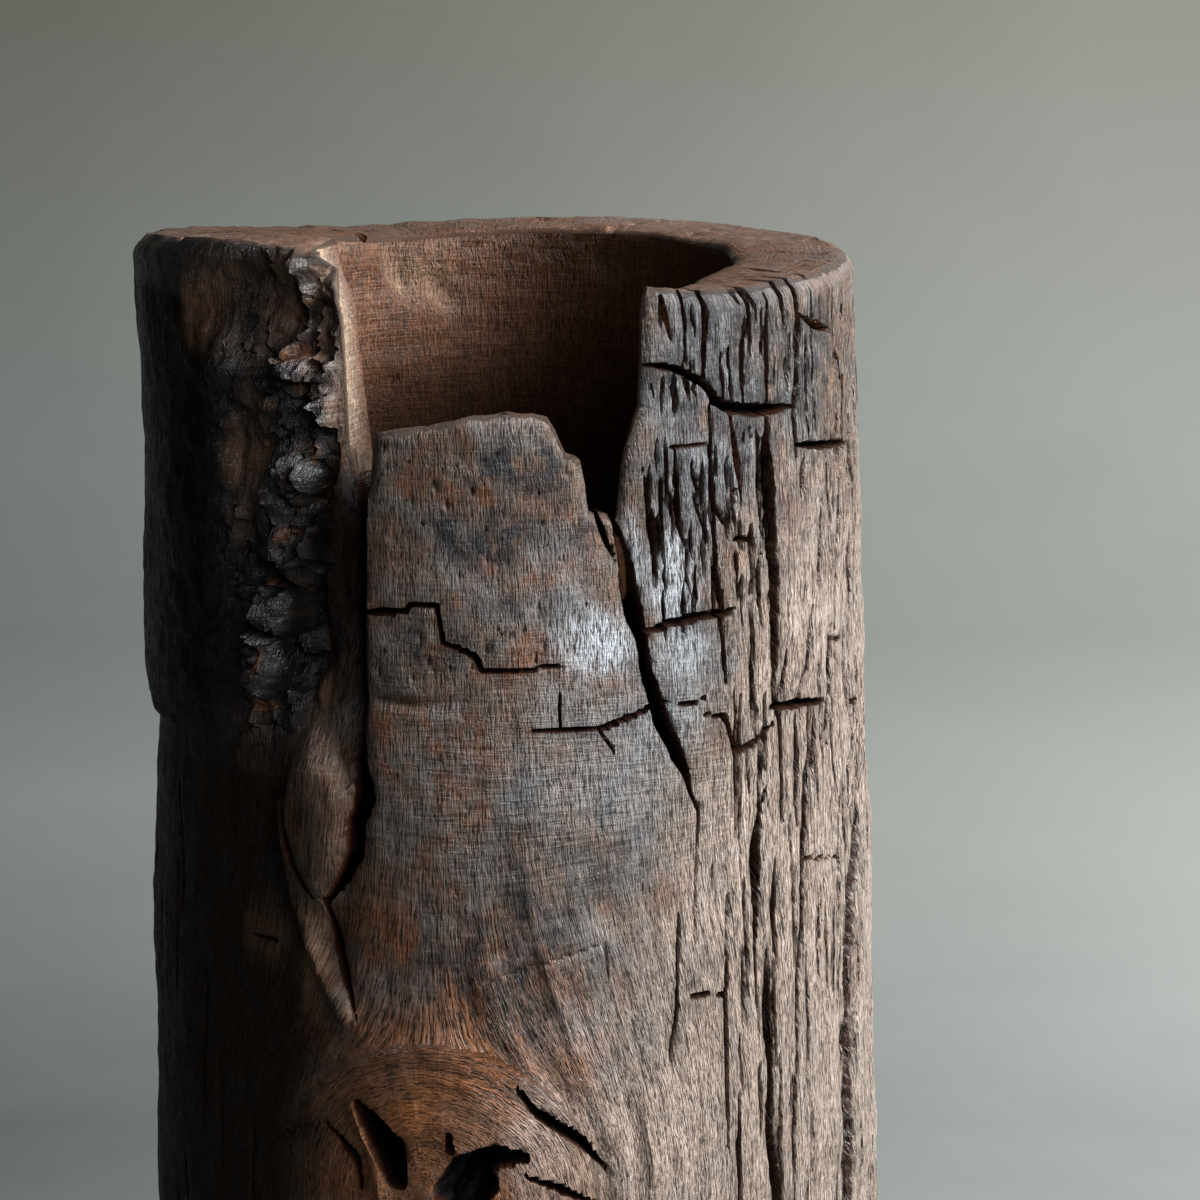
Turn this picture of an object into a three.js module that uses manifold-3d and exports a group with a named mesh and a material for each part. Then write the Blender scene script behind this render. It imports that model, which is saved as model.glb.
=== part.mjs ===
// A flower vase made from a weathered, hollow log.
// The log stands on its own foot. A round base board is let into the foot and pegged through the wall,
// and a loose sheet-copper liner, which lifts out, stands on the board and holds the water.
// Millimetres, +Z up. The origin is on the ground, in the middle of the log. -Y is the broken front,
// angles are in degrees from the front and grow towards +X, and drops are measured down from the rim.

import * as THREE from 'three';
import { mergeVertices } from 'three/addons/utils/BufferGeometryUtils.js';
import Module from 'manifold-3d';

const wasm = await Module();
wasm.setup();

// Log
const RIM_HEIGHT = 360;
const RIM_DIAMETER = 178;
const FOOT_DIAMETER = 192;
const HOLLOW_DIAMETER = 118;
const LEAN = 6; // how far the rim stands to the left of the foot
const LOG_SIDES = 96;
const LOG_ROW_PITCH = 12;
const HOLLOW_SIDES = 48;

// How far the rim stands above its nominal height, round the log: [angle, rise]
const RIM_RISE = [
  [-180, 1.4], [-120, 3.6], [-90, 5.7], [-45, 9.8], [-24, 8], [24, 1.5],
  [45, -1.5], [90, -0.8], [120, 0.7], [155, 2.3], [180, 1.4],
];

// Swellings of the outer surface
const BARK_STEP_DROP = 108; // the charred skin on the left ends here
const BARK_THICKNESS = 3;
const BARK_ANGLE = -95;
const BARK_SPREAD = 42; // degrees to either side
const KNOT_ANGLE = -10.5;
const KNOT_HEIGHT = 146;
const KNOT_RADIUS = 42;
const KNOT_BULGE = 5;
const LOBE_HEIGHT = 1.2;
const LOBE_COUNT = 3;

// How far the burnt left has shrunk: [drop, inset]
const LEFT_SHRINK = [[0, 0.6], [46, 3], [90, 1.5], [108, 2.8], [150, 1.3], [205, 0], [RIM_HEIGHT, 0]];

// What the fire left of the left cheek, and the lobe beside the split below it: the form's middle, its half
// width in degrees, its half height and how far it stands out
const CHEEK_FORMS = [
  { angle: -41, drop: 3, halfWidth: 10, halfHeight: 12, height: -2.6 }, // hollow under the rim
  { angle: -29, drop: 21, halfWidth: 4.5, halfHeight: 9, height: 2.8 }, // shelf of char
  { angle: -38.5, drop: 42, halfWidth: 6.5, halfHeight: 14, height: -3.6 }, // scoop
  { angle: -31, drop: 57, halfWidth: 4.5, halfHeight: 10, height: 2.6 }, // lumps under the scoop
  { angle: -34, drop: 82, halfWidth: 5, halfHeight: 14, height: 2.6 }, // flat plate
  { angle: -28, drop: 124, halfWidth: 5.5, halfHeight: 19, height: 4.2 }, // lobe
];

// How far the fire has eaten the cheek back beside the break, as [angle, depth], and how much of that there is
// further down, as [drop, share]
const CHEEK_BURN = [[-180, 0], [-48, 0], [-27, 8], [-23, 8], [-19, 0], [180, 0]];
const CHEEK_BURN_SHARE = [[0, 1], [80, 1], [112, 0], [RIM_HEIGHT, 0]];

// Splits and checks in the wall
const CRACK_BACK = 8; // wood left between the bottom of a check and the hollow
const GROOVE_DEPTH = 5; // the shallow groove down the right-hand edge
const CUT_REACH = 60; // how far a cut runs out past the wall
const CUT_INWARD = 40; // how far a cut right through the wall starts inside the hollow
const KNOT_HOLE_DEPTH = 17;
const BLOCK_BREAK_DEPTH = 9; // shallower than the other checks, because the wall thins towards the front
const BREAK_LIP = 3; // wood left square to the outer surface along the edge of the broken front
const BREAK_STEPS = 4; // facets of the broken faces, from the edge to the hollow

// The broken front of the rim, from the left cheek over the tongue to the right block: angle and drop of the
// edge, how many degrees to the side and millimetres down the break runs behind it, and how far it bows
const FRONT_BREAK = [
  [-29.5, -30, -10.5, 0, 1], [-28.5, -9, -10.5, 0, 1], [-25.6, -1, -10.5, 0, 1], [-24, 8, -10, 0, 1],
  [-23.4, 24, -8.5, 0, 1], [-23.4, 40, -6, 3, 1], [-18, 40, 0, 6, 1], [-17.6, 31, 2, 16, 1],
  [-8.4, 29, 0, 18, 1], [-2.4, 27, 0, 19, 1], [6.4, 26.4, 0, 19, 1], [9.1, 28, 0, 18, 1],
  [11.1, 35, 0, 11, 1], [13.6, 42, 0, 7, 1], [14.8, 49.5, 0, 3, 1], [18.6, 51.5, 0, 3, 1],
  [19.5, 42, 20, 2, 2.2], [20.8, 33, 27, 2, 2.2], [23.2, 24, 34, 1, 2.2], [24, 1, 42, 0, 2.2],
  [25.5, -30, 43, 0, 2.2],
];

// Checks that run down the grain, each as its middle line: [angle, drop, width across]
const LEFT_SPLIT = [
  [-21.2, 38, 9.6], [-21.6, 52, 9], [-22, 70, 8.4], [-21.8, 80, 8], [-20.9, 94, 7.6], [-21, 108, 5],
  [-20.4, 118, 4.2], [-22.4, 132, 4.4], [-24.6, 144, 3], [-23.6, 155, 2.2], [-22.4, 168, 1],
];
const RIGHT_SPLIT = [
  [16.8, 48, 4.4], [18.6, 58, 7], [20.4, 68, 6.6], [21, 74, 3.6], [21.8, 84, 3.2], [22.8, 95, 3.4],
  [25.4, 105, 3], [28.4, 114, 1.8], [30.5, 122, 0.8],
];
const BLOCK_CHECK = [[56.4, -12, 3], [55.8, 8, 2.8], [54.6, 28, 3.2], [52, 36, 4]];
const MAIN_CHECK = [
  [49, 28, 3], [48.2, 36, 4.6], [47.8, 51, 4.6], [48.2, 66, 5], [48.4, 82, 4], [47.4, 98, 1.6],
];
const LOWER_CHECK = [
  [44.6, 122, 1], [42.9, 136, 4], [44, 152, 2.6], [44.2, 173, 2.8], [43.7, 188, 2.2], [44, 203, 2.6],
  [45.4, 222, 4], [45, 245, 2.4], [44.6, 268, 1],
];
const EDGE_GROOVE = [
  [78, 118, 2.4], [72.5, 148, 7], [69.5, 174, 7.6], [68, 200, 7.2], [66, 232, 6], [65, 270, 2.4],
];

// Checks that break across the grain: the same, with the width upright
const BLOCK_BREAK = [
  [22, 16.5, 2.4], [33.6, 21.5, 2.6], [37, 26, 3.6], [46, 29, 4.2], [55.5, 30.5, 3.6],
];
const PANEL_BREAK = [[20.6, 78.6, 2.6], [31, 77.2, 2.4], [40, 76.2, 2]];
const SIDE_BREAK = [[46.5, 100.4, 3], [54, 101.2, 3.4], [64, 102.2, 2]];

// Rotten holes in the knot: angle and height of the middle, half width, half height, tilt
const KNOT_HOLES = [
  { angle: -17, height: 162, halfWidth: 4.5, halfHeight: 10, tilt: 18 },
  { angle: -25, height: 156, halfWidth: 2.2, halfHeight: 9, tilt: 22 },
  { angle: -3.5, height: 152, halfWidth: 9, halfHeight: 6, tilt: -28 },
  { angle: 7.5, height: 172, halfWidth: 2, halfHeight: 11, tilt: 46 },
];
const HOLE_SIDES = 14;

// A splinter that has come away and stays wedged in the right-hand split
const SPLINTER_TOP_DROP = 55;
const SPLINTER_LENGTH = 16;
const SPLINTER_WIDTH = 3.2;
const SPLINTER_DEPTH = 19;

// Base board and its pegs
const REBATE_SHOULDER = 8; // ledge inside the foot that the board seats against
const BASE_THICKNESS = 16;
const FOOT_RECESS = 3; // the board stays this far above the ground
const BASE_SIDES = 64;
const BASE_CHAMFER = 1.5;
const PEG_COUNT = 6;
const PEG_FIRST_ANGLE = 22;
const PEG_DIAMETER = 8;
const PEG_BITE = 16; // how far a peg reaches into the board
const PEG_SET = 0.6; // how far a peg's end lies under the outer surface
const PEG_SIDES = 16;

// Liner
const LINER_GAP = 9; // between the liner and the rough hollow
const LINER_DROP = 122; // the liner's lip stays below the break in the front
const LINER_SHEET = 1;
const LINER_FLANGE = 9; // the floor stands up from the board by its turned-down flange
const LINER_SIDES = 48;
const BEAD_DIAMETER = 3.6;
const BEAD_SIDES = 10;

const CLEARANCE = 0.3; // between pieces that touch

const rimRadius = RIM_DIAMETER / 2;
const footRadius = FOOT_DIAMETER / 2;
const hollowRadius = HOLLOW_DIAMETER / 2;
const rebateRadius = hollowRadius + REBATE_SHOULDER;
const rebateHeight = FOOT_RECESS + BASE_THICKNESS + CLEARANCE;
const crackFloorRadius = hollowRadius + CRACK_BACK;
const baseRadius = rebateRadius - CLEARANCE;
const baseMiddle = FOOT_RECESS + BASE_THICKNESS / 2;

// Shape of the log

function smooth(value) {
  return THREE.MathUtils.smoothstep(value, 0, 1);
}

// The middle of the log at a height: it leans a little to the left
function logMiddle(z) {
  return LEAN * (0.5 - z / RIM_HEIGHT);
}

function angleBetween(a, b) {
  return THREE.MathUtils.euclideanModulo(a - b + 180, 360) - 180;
}

// The value of a table of [place, value] at a place, eased between its points
function along(table, place) {
  const next = Math.max(1, table.findIndex((point) => point[0] >= place));
  const [from, start] = table[next - 1];
  const [to, end] = table[next];
  return THREE.MathUtils.lerp(start, end, smooth((place - from) / (to - from)));
}

function cheekRelief(angle, drop) {
  const burnt = along(CHEEK_BURN, angle) * along(CHEEK_BURN_SHARE, drop);
  return CHEEK_FORMS.reduce((sum, form) => {
    const across = (angle - form.angle) / form.halfWidth;
    const down = (drop - form.drop) / form.halfHeight;
    return sum + form.height * Math.exp(-(across ** 2) - down ** 2);
  }, -burnt);
}

// Radius of the outer surface, with the charred skin, the burnt cheek, the knot's swelling and shallow lobes
function logRadius(angle, z) {
  const plain = THREE.MathUtils.lerp(footRadius, rimRadius, z / RIM_HEIGHT);
  const lobes = LOBE_HEIGHT * Math.cos(THREE.MathUtils.degToRad(LOBE_COUNT * angle));
  const skinShare = Math.exp(-((angleBetween(angle, BARK_ANGLE) / BARK_SPREAD) ** 2));
  const drop = RIM_HEIGHT - z;
  const aboveStep = smooth((BARK_STEP_DROP - drop) / LOG_ROW_PITCH + 0.5);
  const skin = BARK_THICKNESS * aboveStep - along(LEFT_SHRINK, drop);
  const acrossKnot = THREE.MathUtils.degToRad(angleBetween(angle, KNOT_ANGLE)) * plain;
  const knotShare = Math.exp(-((Math.hypot(acrossKnot, z - KNOT_HEIGHT) / KNOT_RADIUS) ** 2));
  return plain + lobes + skin * skinShare + KNOT_BULGE * knotShare + cheekRelief(angle, drop);
}

// A point at a distance from the log's middle, at an angle and a height
function wallPoint(angle, z, radius) {
  const turn = THREE.MathUtils.degToRad(angle);
  return new THREE.Vector3(logMiddle(z) + radius * Math.sin(turn), -radius * Math.cos(turn), z);
}

// Moves every vertex of a geometry to where a rule puts it
function reshape(geometry, rule) {
  const place = geometry.getAttribute('position');
  for (let i = 0; i < place.count; i += 1) {
    const moved = rule(place.getX(i), place.getY(i), place.getZ(i));
    place.setXYZ(i, moved.x, moved.y, moved.z);
  }
  return geometry;
}

// A turned solid from its profile of [radius, height] points, which runs upwards on the outside
function turned(profile, sides) {
  const points = profile.map(([radius, height]) => new THREE.Vector2(radius, height));
  return new THREE.LatheGeometry(points, sides).rotateX(Math.PI / 2);
}

// Solids for joining and cutting

function solidOf(geometry) {
  const bare = geometry.clone();
  bare.deleteAttribute('normal');
  bare.deleteAttribute('uv');
  const merged = mergeVertices(bare, 1e-4);
  const corners = merged.getIndex().array;
  const kept = [];
  for (let i = 0; i < corners.length; i += 3) {
    const [a, b, c] = corners.slice(i, i + 3);
    if (a !== b && b !== c && c !== a) kept.push(a, b, c);
  }
  const vertProperties = Float32Array.from(merged.getAttribute('position').array);
  const triVerts = Uint32Array.from(kept);
  return new wasm.Manifold(new wasm.Mesh({ numProp: 3, vertProperties, triVerts }));
}

function geometryOf(solid) {
  const { vertProperties, triVerts } = solid.getMesh();
  const geometry = new THREE.BufferGeometry();
  geometry.setAttribute('position', new THREE.BufferAttribute(vertProperties, 3));
  geometry.setIndex(new THREE.BufferAttribute(triVerts, 1));
  geometry.computeVertexNormals();
  return geometry;
}

function cutAll(solid, cutters) {
  return cutters.reduce((left, cutter) => left.subtract(solidOf(cutter)), solid);
}

// A prism: its outline is drawn on the unrolled wall as [angle, drop], its sides run to the log's middle
function wallPrism(outline, innerRadius, outerRadius) {
  const corners = outline.map(([angle, drop]) => new THREE.Vector2(angle, RIM_HEIGHT - drop));
  const depth = outerRadius - innerRadius;
  const flat = new THREE.ExtrudeGeometry(new THREE.Shape(corners), { depth, bevelEnabled: false });
  return reshape(flat, (angle, z, out) => wallPoint(angle, z, innerRadius + out));
}

// A cut whose outline on the unrolled wall, [angle, drop], changes with the radius: one ring to a radius,
// from the inside outwards, each outline anticlockwise as seen from outside
function wallLoft(rings) {
  const count = rings[0].outline.length;
  const corners = rings.flatMap(({ radius, outline }) => (
    outline.map(([angle, drop]) => wallPoint(angle, RIM_HEIGHT - drop, radius))
  ));
  const capOf = ({ outline }) => {
    const flat = outline.map(([angle, drop]) => new THREE.Vector2(angle, -drop));
    return THREE.ShapeUtils.triangulateShape(flat, []);
  };
  const lastRing = count * (rings.length - 1);
  const faces = [
    ...capOf(rings[0]).map(([a, b, c]) => [c, b, a]),
    ...capOf(rings.at(-1)).map((cap) => cap.map((corner) => corner + lastRing)),
  ];
  for (let inner = 0; inner < lastRing; inner += count) {
    for (let i = 0; i < count; i += 1) {
      const [from, to] = [inner + i, inner + ((i + 1) % count)];
      faces.push([from, to, to + count], [from, to + count, from + count]);
    }
  }
  const geometry = new THREE.BufferGeometry().setFromPoints(corners);
  geometry.setIndex(faces.flat());
  return geometry;
}

// The outline of the broken front at a share of the wall: 1 at the outer surface, 0 at the hollow
function breakOutline(share) {
  return FRONT_BREAK.map(([angle, drop, aside, down, bow]) => {
    const run = 1 - share ** (1 / bow);
    return [angle + aside * run, drop + down * run];
  });
}

function frontBreakCut(reach) {
  const lipRadius = rimRadius - BREAK_LIP;
  const slanted = Array.from({ length: BREAK_STEPS + 1 }, (_, i) => {
    const share = i / BREAK_STEPS;
    return { radius: THREE.MathUtils.lerp(hollowRadius, lipRadius, share), outline: breakOutline(share) };
  });
  return wallLoft([
    { radius: hollowRadius - CUT_INWARD, outline: breakOutline(0) },
    ...slanted,
    { radius: reach, outline: breakOutline(1) },
  ]);
}

// The angle that a width takes up on the outer surface
function angleAcross(width, angle, drop) {
  return THREE.MathUtils.radToDeg(width / logRadius(angle, RIM_HEIGHT - drop));
}

// The outline of a check from its middle line, which runs down the wall
function downGrain(line) {
  const left = line.map(([angle, drop, width]) => [angle - angleAcross(width / 2, angle, drop), drop]);
  const right = line.map(([angle, drop, width]) => [angle + angleAcross(width / 2, angle, drop), drop]);
  return [...left, ...right.reverse()];
}

// The outline of a check from its middle line, which runs across the wall
function acrossGrain(line) {
  const above = line.map(([angle, drop, width]) => [angle, drop - width / 2]);
  const below = line.map(([angle, drop, width]) => [angle, drop + width / 2]);
  return [...above, ...below.reverse()];
}

// An oval on the unrolled wall, turned by its tilt
function ovalOutline({ angle, height, halfWidth, halfHeight, tilt }) {
  const turn = THREE.MathUtils.degToRad(tilt);
  const radius = logRadius(angle, height);
  return Array.from({ length: HOLE_SIDES }, (_, i) => {
    const step = (2 * Math.PI * i) / HOLE_SIDES;
    const across = halfWidth * Math.cos(step);
    const up = halfHeight * Math.sin(step);
    const turnedAcross = across * Math.cos(turn) + up * Math.sin(turn);
    const turnedUp = up * Math.cos(turn) - across * Math.sin(turn);
    return [angle + THREE.MathUtils.radToDeg(turnedAcross / radius), RIM_HEIGHT - height - turnedUp];
  });
}

// Log wall

function logBody() {
  const rows = Math.round(RIM_HEIGHT / LOG_ROW_PITCH);
  const side = Array.from({ length: rows + 1 }, (_, i) => [1, (RIM_HEIGHT * i) / rows]);
  const blank = turned([[0, 0], ...side, [0, RIM_HEIGHT]], LOG_SIDES);
  return reshape(blank, (x, y, z) => {
    const angle = THREE.MathUtils.radToDeg(Math.atan2(x, -y));
    const share = Math.hypot(x, y);
    const height = z + along(RIM_RISE, angle) * share * (z / RIM_HEIGHT);
    return wallPoint(angle, height, logRadius(angle, z) * share);
  });
}

function hollowCut() {
  const below = -CUT_REACH;
  const above = RIM_HEIGHT + CUT_REACH;
  const bore = turned([[0, below], [hollowRadius, below], [hollowRadius, above], [0, above]], HOLLOW_SIDES);
  return reshape(bore, (x, y, z) => new THREE.Vector3(x + logMiddle(z), y, z));
}

function rebateCut() {
  const below = -CUT_REACH;
  const seat = [[0, below], [rebateRadius, below], [rebateRadius, rebateHeight], [0, rebateHeight]];
  return turned(seat, BASE_SIDES).translate(logMiddle(baseMiddle), 0, 0);
}

// Places a geometry that lies along +Y so that it points out of the log at a peg's angle
function alongPeg(object, angle) {
  object.rotation.z = THREE.MathUtils.degToRad(angle + 180);
  object.position.set(logMiddle(baseMiddle), 0, baseMiddle);
  object.updateMatrix();
  return object;
}

function pegAngle(index) {
  return PEG_FIRST_ANGLE + (360 * index) / PEG_COUNT;
}

function pegRod(diameter, from, to) {
  const rod = new THREE.CylinderGeometry(diameter / 2, diameter / 2, to - from, PEG_SIDES);
  return rod.translate(0, (from + to) / 2, 0);
}

function pegHole(index, from) {
  const rod = pegRod(PEG_DIAMETER + 2 * CLEARANCE, from, footRadius + CUT_REACH);
  return rod.applyMatrix4(alongPeg(new THREE.Object3D(), pegAngle(index)).matrix);
}

const pegIndexes = Array.from({ length: PEG_COUNT }, (_, i) => i);

function logWall() {
  const reach = Math.max(rimRadius, footRadius) + CUT_REACH;
  const knotFloor = (hole) => logRadius(hole.angle, hole.height) - KNOT_HOLE_DEPTH;
  const grooveFloor = (rimRadius + footRadius) / 2 - GROOVE_DEPTH;
  const deepOutlines = [
    ...[LEFT_SPLIT, RIGHT_SPLIT, BLOCK_CHECK, MAIN_CHECK, LOWER_CHECK].map(downGrain),
    ...[PANEL_BREAK, SIDE_BREAK].map(acrossGrain),
  ];
  return geometryOf(cutAll(solidOf(logBody()), [
    hollowCut(),
    rebateCut(),
    ...pegIndexes.map((i) => pegHole(i, rebateRadius - PEG_DIAMETER)),
    frontBreakCut(reach),
    ...deepOutlines.map((outline) => wallPrism(outline, crackFloorRadius, reach)),
    wallPrism(acrossGrain(BLOCK_BREAK), rimRadius - BLOCK_BREAK_DEPTH, reach),
    wallPrism(downGrain(EDGE_GROOVE), grooveFloor, reach),
    ...KNOT_HOLES.map((hole) => wallPrism(ovalOutline(hole), knotFloor(hole), reach)),
  ]));
}

// Splinter: a slim wedge of wood against the right-hand side of the split, widest a third of the way down

function splitEdge(line, drop) {
  const next = line.findIndex((point) => point[1] >= drop);
  const [from, to] = [line[next - 1], line[next]];
  const share = (drop - from[1]) / (to[1] - from[1]);
  const [middle, width] = [0, 2].map((i) => THREE.MathUtils.lerp(from[i], to[i], share));
  return middle + angleAcross(width / 2 - CLEARANCE, middle, drop);
}

function splinter() {
  const rows = [[0, 0.6], [1 / 3, 1], [1, 0.3]];
  const right = rows.map(([share]) => {
    const drop = SPLINTER_TOP_DROP + SPLINTER_LENGTH * share;
    return [splitEdge(RIGHT_SPLIT, drop), drop];
  });
  const left = right.map(([angle, drop], i) => {
    const width = SPLINTER_WIDTH * rows[i][1];
    return [angle - angleAcross(width, angle, drop), drop];
  });
  const inner = crackFloorRadius + CLEARANCE;
  return wallPrism([...left, ...right.reverse()], inner, inner + SPLINTER_DEPTH);
}

// Base board and pegs

function baseBoard() {
  const top = FOOT_RECESS + BASE_THICKNESS;
  const disc = turned([
    [0, FOOT_RECESS], [baseRadius - BASE_CHAMFER, FOOT_RECESS], [baseRadius, FOOT_RECESS + BASE_CHAMFER],
    [baseRadius, top], [0, top],
  ], BASE_SIDES).translate(logMiddle(baseMiddle), 0, 0);
  const holes = pegIndexes.map((i) => pegHole(i, baseRadius - PEG_BITE - CLEARANCE));
  return geometryOf(cutAll(solidOf(disc), holes));
}

function peg(index) {
  const outer = logRadius(pegAngle(index), baseMiddle) - PEG_SET;
  return pegRod(PEG_DIAMETER, baseRadius - PEG_BITE, outer);
}

// Liner: a rolled wall, a flanged floor soldered inside it and a wire bead round the lip

const linerRadius = hollowRadius - LINER_GAP;
const linerInside = linerRadius - LINER_SHEET;
const linerFoot = FOOT_RECESS + BASE_THICKNESS + CLEARANCE;
const linerTop = RIM_HEIGHT - LINER_DROP;

function linerWall() {
  return turned([
    [linerInside, linerFoot], [linerRadius, linerFoot], [linerRadius, linerTop], [linerInside, linerTop],
    [linerInside, linerFoot],
  ], LINER_SIDES);
}

function linerFloor() {
  const outer = linerInside - CLEARANCE;
  const top = linerFoot + LINER_FLANGE;
  const under = top - LINER_SHEET;
  return turned([
    [0, under], [outer - LINER_SHEET, under], [outer - LINER_SHEET, linerFoot], [outer, linerFoot],
    [outer, top], [0, top],
  ], LINER_SIDES);
}

function linerBead() {
  const radius = BEAD_DIAMETER / 2;
  const ring = linerRadius + CLEARANCE + radius;
  return new THREE.TorusGeometry(ring, radius, BEAD_SIDES, LINER_SIDES).translate(0, 0, linerTop - radius);
}

// Finishes

function finish(color, roughness, metalness = 0) {
  return new THREE.MeshStandardMaterial({ color, roughness, metalness });
}

const weatheredWood = finish('#5b473b', 0.85);
const splinterWood = finish('#6f6259', 0.9);
const boardWood = finish('#6a4c36', 0.75);
const pegWood = finish('#8a6a4a', 0.7);
const sheetCopper = finish('#7d4a32', 0.45, 1);
const beadCopper = finish('#8c5439', 0.4, 1);

function named(name, geometry, material) {
  const mesh = new THREE.Mesh(geometry, material);
  mesh.name = name;
  return mesh;
}

const vase = new THREE.Group();
vase.add(named('log_wall', logWall(), weatheredWood));
vase.add(named('crack_splinter', splinter(), splinterWood));
vase.add(named('base_board', baseBoard(), boardWood));
pegIndexes.forEach((i) => {
  vase.add(alongPeg(named(`base_peg_${i + 1}`, peg(i), pegWood), pegAngle(i)));
});

const liner = new THREE.Group();
liner.position.x = logMiddle((linerFoot + linerTop) / 2);
liner.add(named('liner_wall', linerWall(), sheetCopper));
liner.add(named('liner_floor', linerFloor(), sheetCopper));
liner.add(named('liner_rim_bead', linerBead(), beadCopper));
vase.add(liner);

export default vase;
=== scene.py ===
"""Looks of a flower vase made from a weathered, hollow log.

The log is charred on its left, split and bleached on its right, and broken open at the front of its rim.
A pegged board closes its foot, and a tarnished copper liner stands in its hollow.
Lengths are in millimetres until a mesh is written. Angles are degrees from the front (-Y), growing to +X,
and drops are millimetres below the nominal rim.
"""

import logging
import math
from collections.abc import Callable
from dataclasses import dataclass, field
from enum import Enum
from functools import partial

import bpy
import numpy as np
from bpy.types import Material, Mesh, Node, NodeSocket, NodeTree, Object
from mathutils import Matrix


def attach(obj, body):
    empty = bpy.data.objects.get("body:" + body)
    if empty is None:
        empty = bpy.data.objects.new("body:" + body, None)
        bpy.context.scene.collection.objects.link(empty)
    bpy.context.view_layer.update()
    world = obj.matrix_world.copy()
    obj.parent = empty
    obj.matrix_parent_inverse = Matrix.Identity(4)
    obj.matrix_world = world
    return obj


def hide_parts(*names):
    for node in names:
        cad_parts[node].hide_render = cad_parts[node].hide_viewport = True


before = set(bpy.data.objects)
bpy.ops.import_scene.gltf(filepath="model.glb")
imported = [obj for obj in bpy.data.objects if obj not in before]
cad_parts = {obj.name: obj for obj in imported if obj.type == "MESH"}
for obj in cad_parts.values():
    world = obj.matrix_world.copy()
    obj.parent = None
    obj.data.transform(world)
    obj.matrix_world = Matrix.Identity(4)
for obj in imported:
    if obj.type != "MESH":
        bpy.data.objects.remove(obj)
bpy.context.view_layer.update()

MM = 0.001
PER_DEGREE = 1.61  # mm of the log's outer surface to a degree
FAR = 1e6
TINY = 1e-3
LOG = logging.getLogger("log_vase")
Array = np.ndarray
Pair = tuple[float, float]
Triple = tuple[float, float, float]
Line = tuple[tuple[float, ...], ...]
Parts = tuple[tuple[str, float], ...]
# Factors that spread whole-numbered coordinates and a seed over 64 bits
SPREAD = (374761393, 668265263, 2246822519)
SEED_SPREAD = 3266489917
STIR = 0x9E3779B97F4A7C15
SHARE_BITS = 10
OCTAVE_SHIFT = 17.3


def to_linear(colour: str) -> tuple[float, float, float, float]:
    """Turns an sRGB hex colour into linear light.

    Args:
        colour: six hex digits after a hash sign.

    Returns:
        Red, green, blue and an alpha of one.
    """
    parts = [int(colour[i : i + 2], 16) / 255 for i in (1, 3, 5)]
    linear = [c / 12.92 if c <= 0.04045 else ((c + 0.055) / 1.055) ** 2.4 for c in parts]
    return (linear[0], linear[1], linear[2], 1.0)


def ease(low: float, high: float, value: Array) -> Array:
    """Rises smoothly from 0 at low to 1 at high, and falls where low is the higher one."""
    t = np.clip((value - low) / (high - low), 0.0, 1.0)
    return t * t * (3 - 2 * t)


def bell(value: Array, middle: float, spread: float) -> Array:
    """A bell of height one round a middle value."""
    return np.exp(-(((value - middle) / spread) ** 2))


def around(angle: Array, radius: Array, z: Array) -> Array:
    """Positions on circles about the upright axis, one to an angle in degrees."""
    turn = np.radians(angle)
    return np.stack([radius * np.sin(turn), -radius * np.cos(turn), z], axis=-1)


def turned(angle: Array) -> Array:
    """An angle in degrees, brought between -180 and 180."""
    return (angle + 180) % 360 - 180


def follow(value: Array, line: Line) -> Array:
    """Reads a line of (place, height) at each value."""
    stops = np.array(line)
    return np.interp(value, stops[:, 0], stops[:, 1])


def beside(across: Array, drop: Array, start: tuple, end: tuple) -> tuple[Array, Array, Array]:
    """Places points beside one step of a line on the wall.

    Args:
        across: mm round the log from the front.
        drop: mm below the nominal rim.
        start: angle and drop at the step's start, and any more values.
        end: the same at its end.

    Returns:
        The share of the step at which each point lies, and how far right of it and below it the point is.
    """
    right, down = (end[0] - start[0]) * PER_DEGREE, end[1] - start[1]
    x, y = across - start[0] * PER_DEGREE, drop - start[1]
    share = np.clip((x * right + y * down) / (right**2 + down**2), 0, 1)
    return share, x - share * right, y - share * down


def scramble(cells: Array, seed: int) -> Array:
    """Draws a random number for each cell of a grid.

    Args:
        cells: n by 3 whole numbers.
        seed: which numbers.

    Returns:
        One fixed number of 64 bits for each cell.
    """
    steps = cells.astype(np.int64).astype(np.uint64)
    key = np.full(len(steps), seed * SEED_SPREAD, np.uint64)
    for axis, factor in enumerate(SPREAD):
        key += steps[:, axis] * np.uint64(factor)
    key ^= key >> np.uint64(29)
    key *= np.uint64(STIR)
    return key ^ key >> np.uint64(32)


def shares(key: Array, count: int) -> Array:
    """Splits each random number into columns of values between 0 and 1."""
    top = 2**SHARE_BITS - 1
    return np.stack([(key >> np.uint64(SHARE_BITS * i)) & np.uint64(top) for i in range(count)], axis=1) / top


def gradient_noise(points: Array, seed: int) -> Array:
    """Smooth noise in space with one wave to a unit cell.

    Args:
        points: n by 3 positions, already divided by the wave's length.
        seed: which noise.

    Returns:
        n values, mostly between -1 and 1.
    """
    base = np.floor(points)
    part = points - base
    fade = part**3 * (part * (part * 6 - 15) + 10)
    total = np.zeros(len(points))
    for corner in range(8):
        step = np.array([corner & 1, corner >> 1 & 1, corner >> 2 & 1])
        slope = 2 * shares(scramble(base + step, seed), 3) - 1
        weight = np.prod(np.where(step == 1, fade, 1 - fade), axis=1)
        total += weight * ((part - step) * slope).sum(axis=1)
    return 1.5 * total


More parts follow.
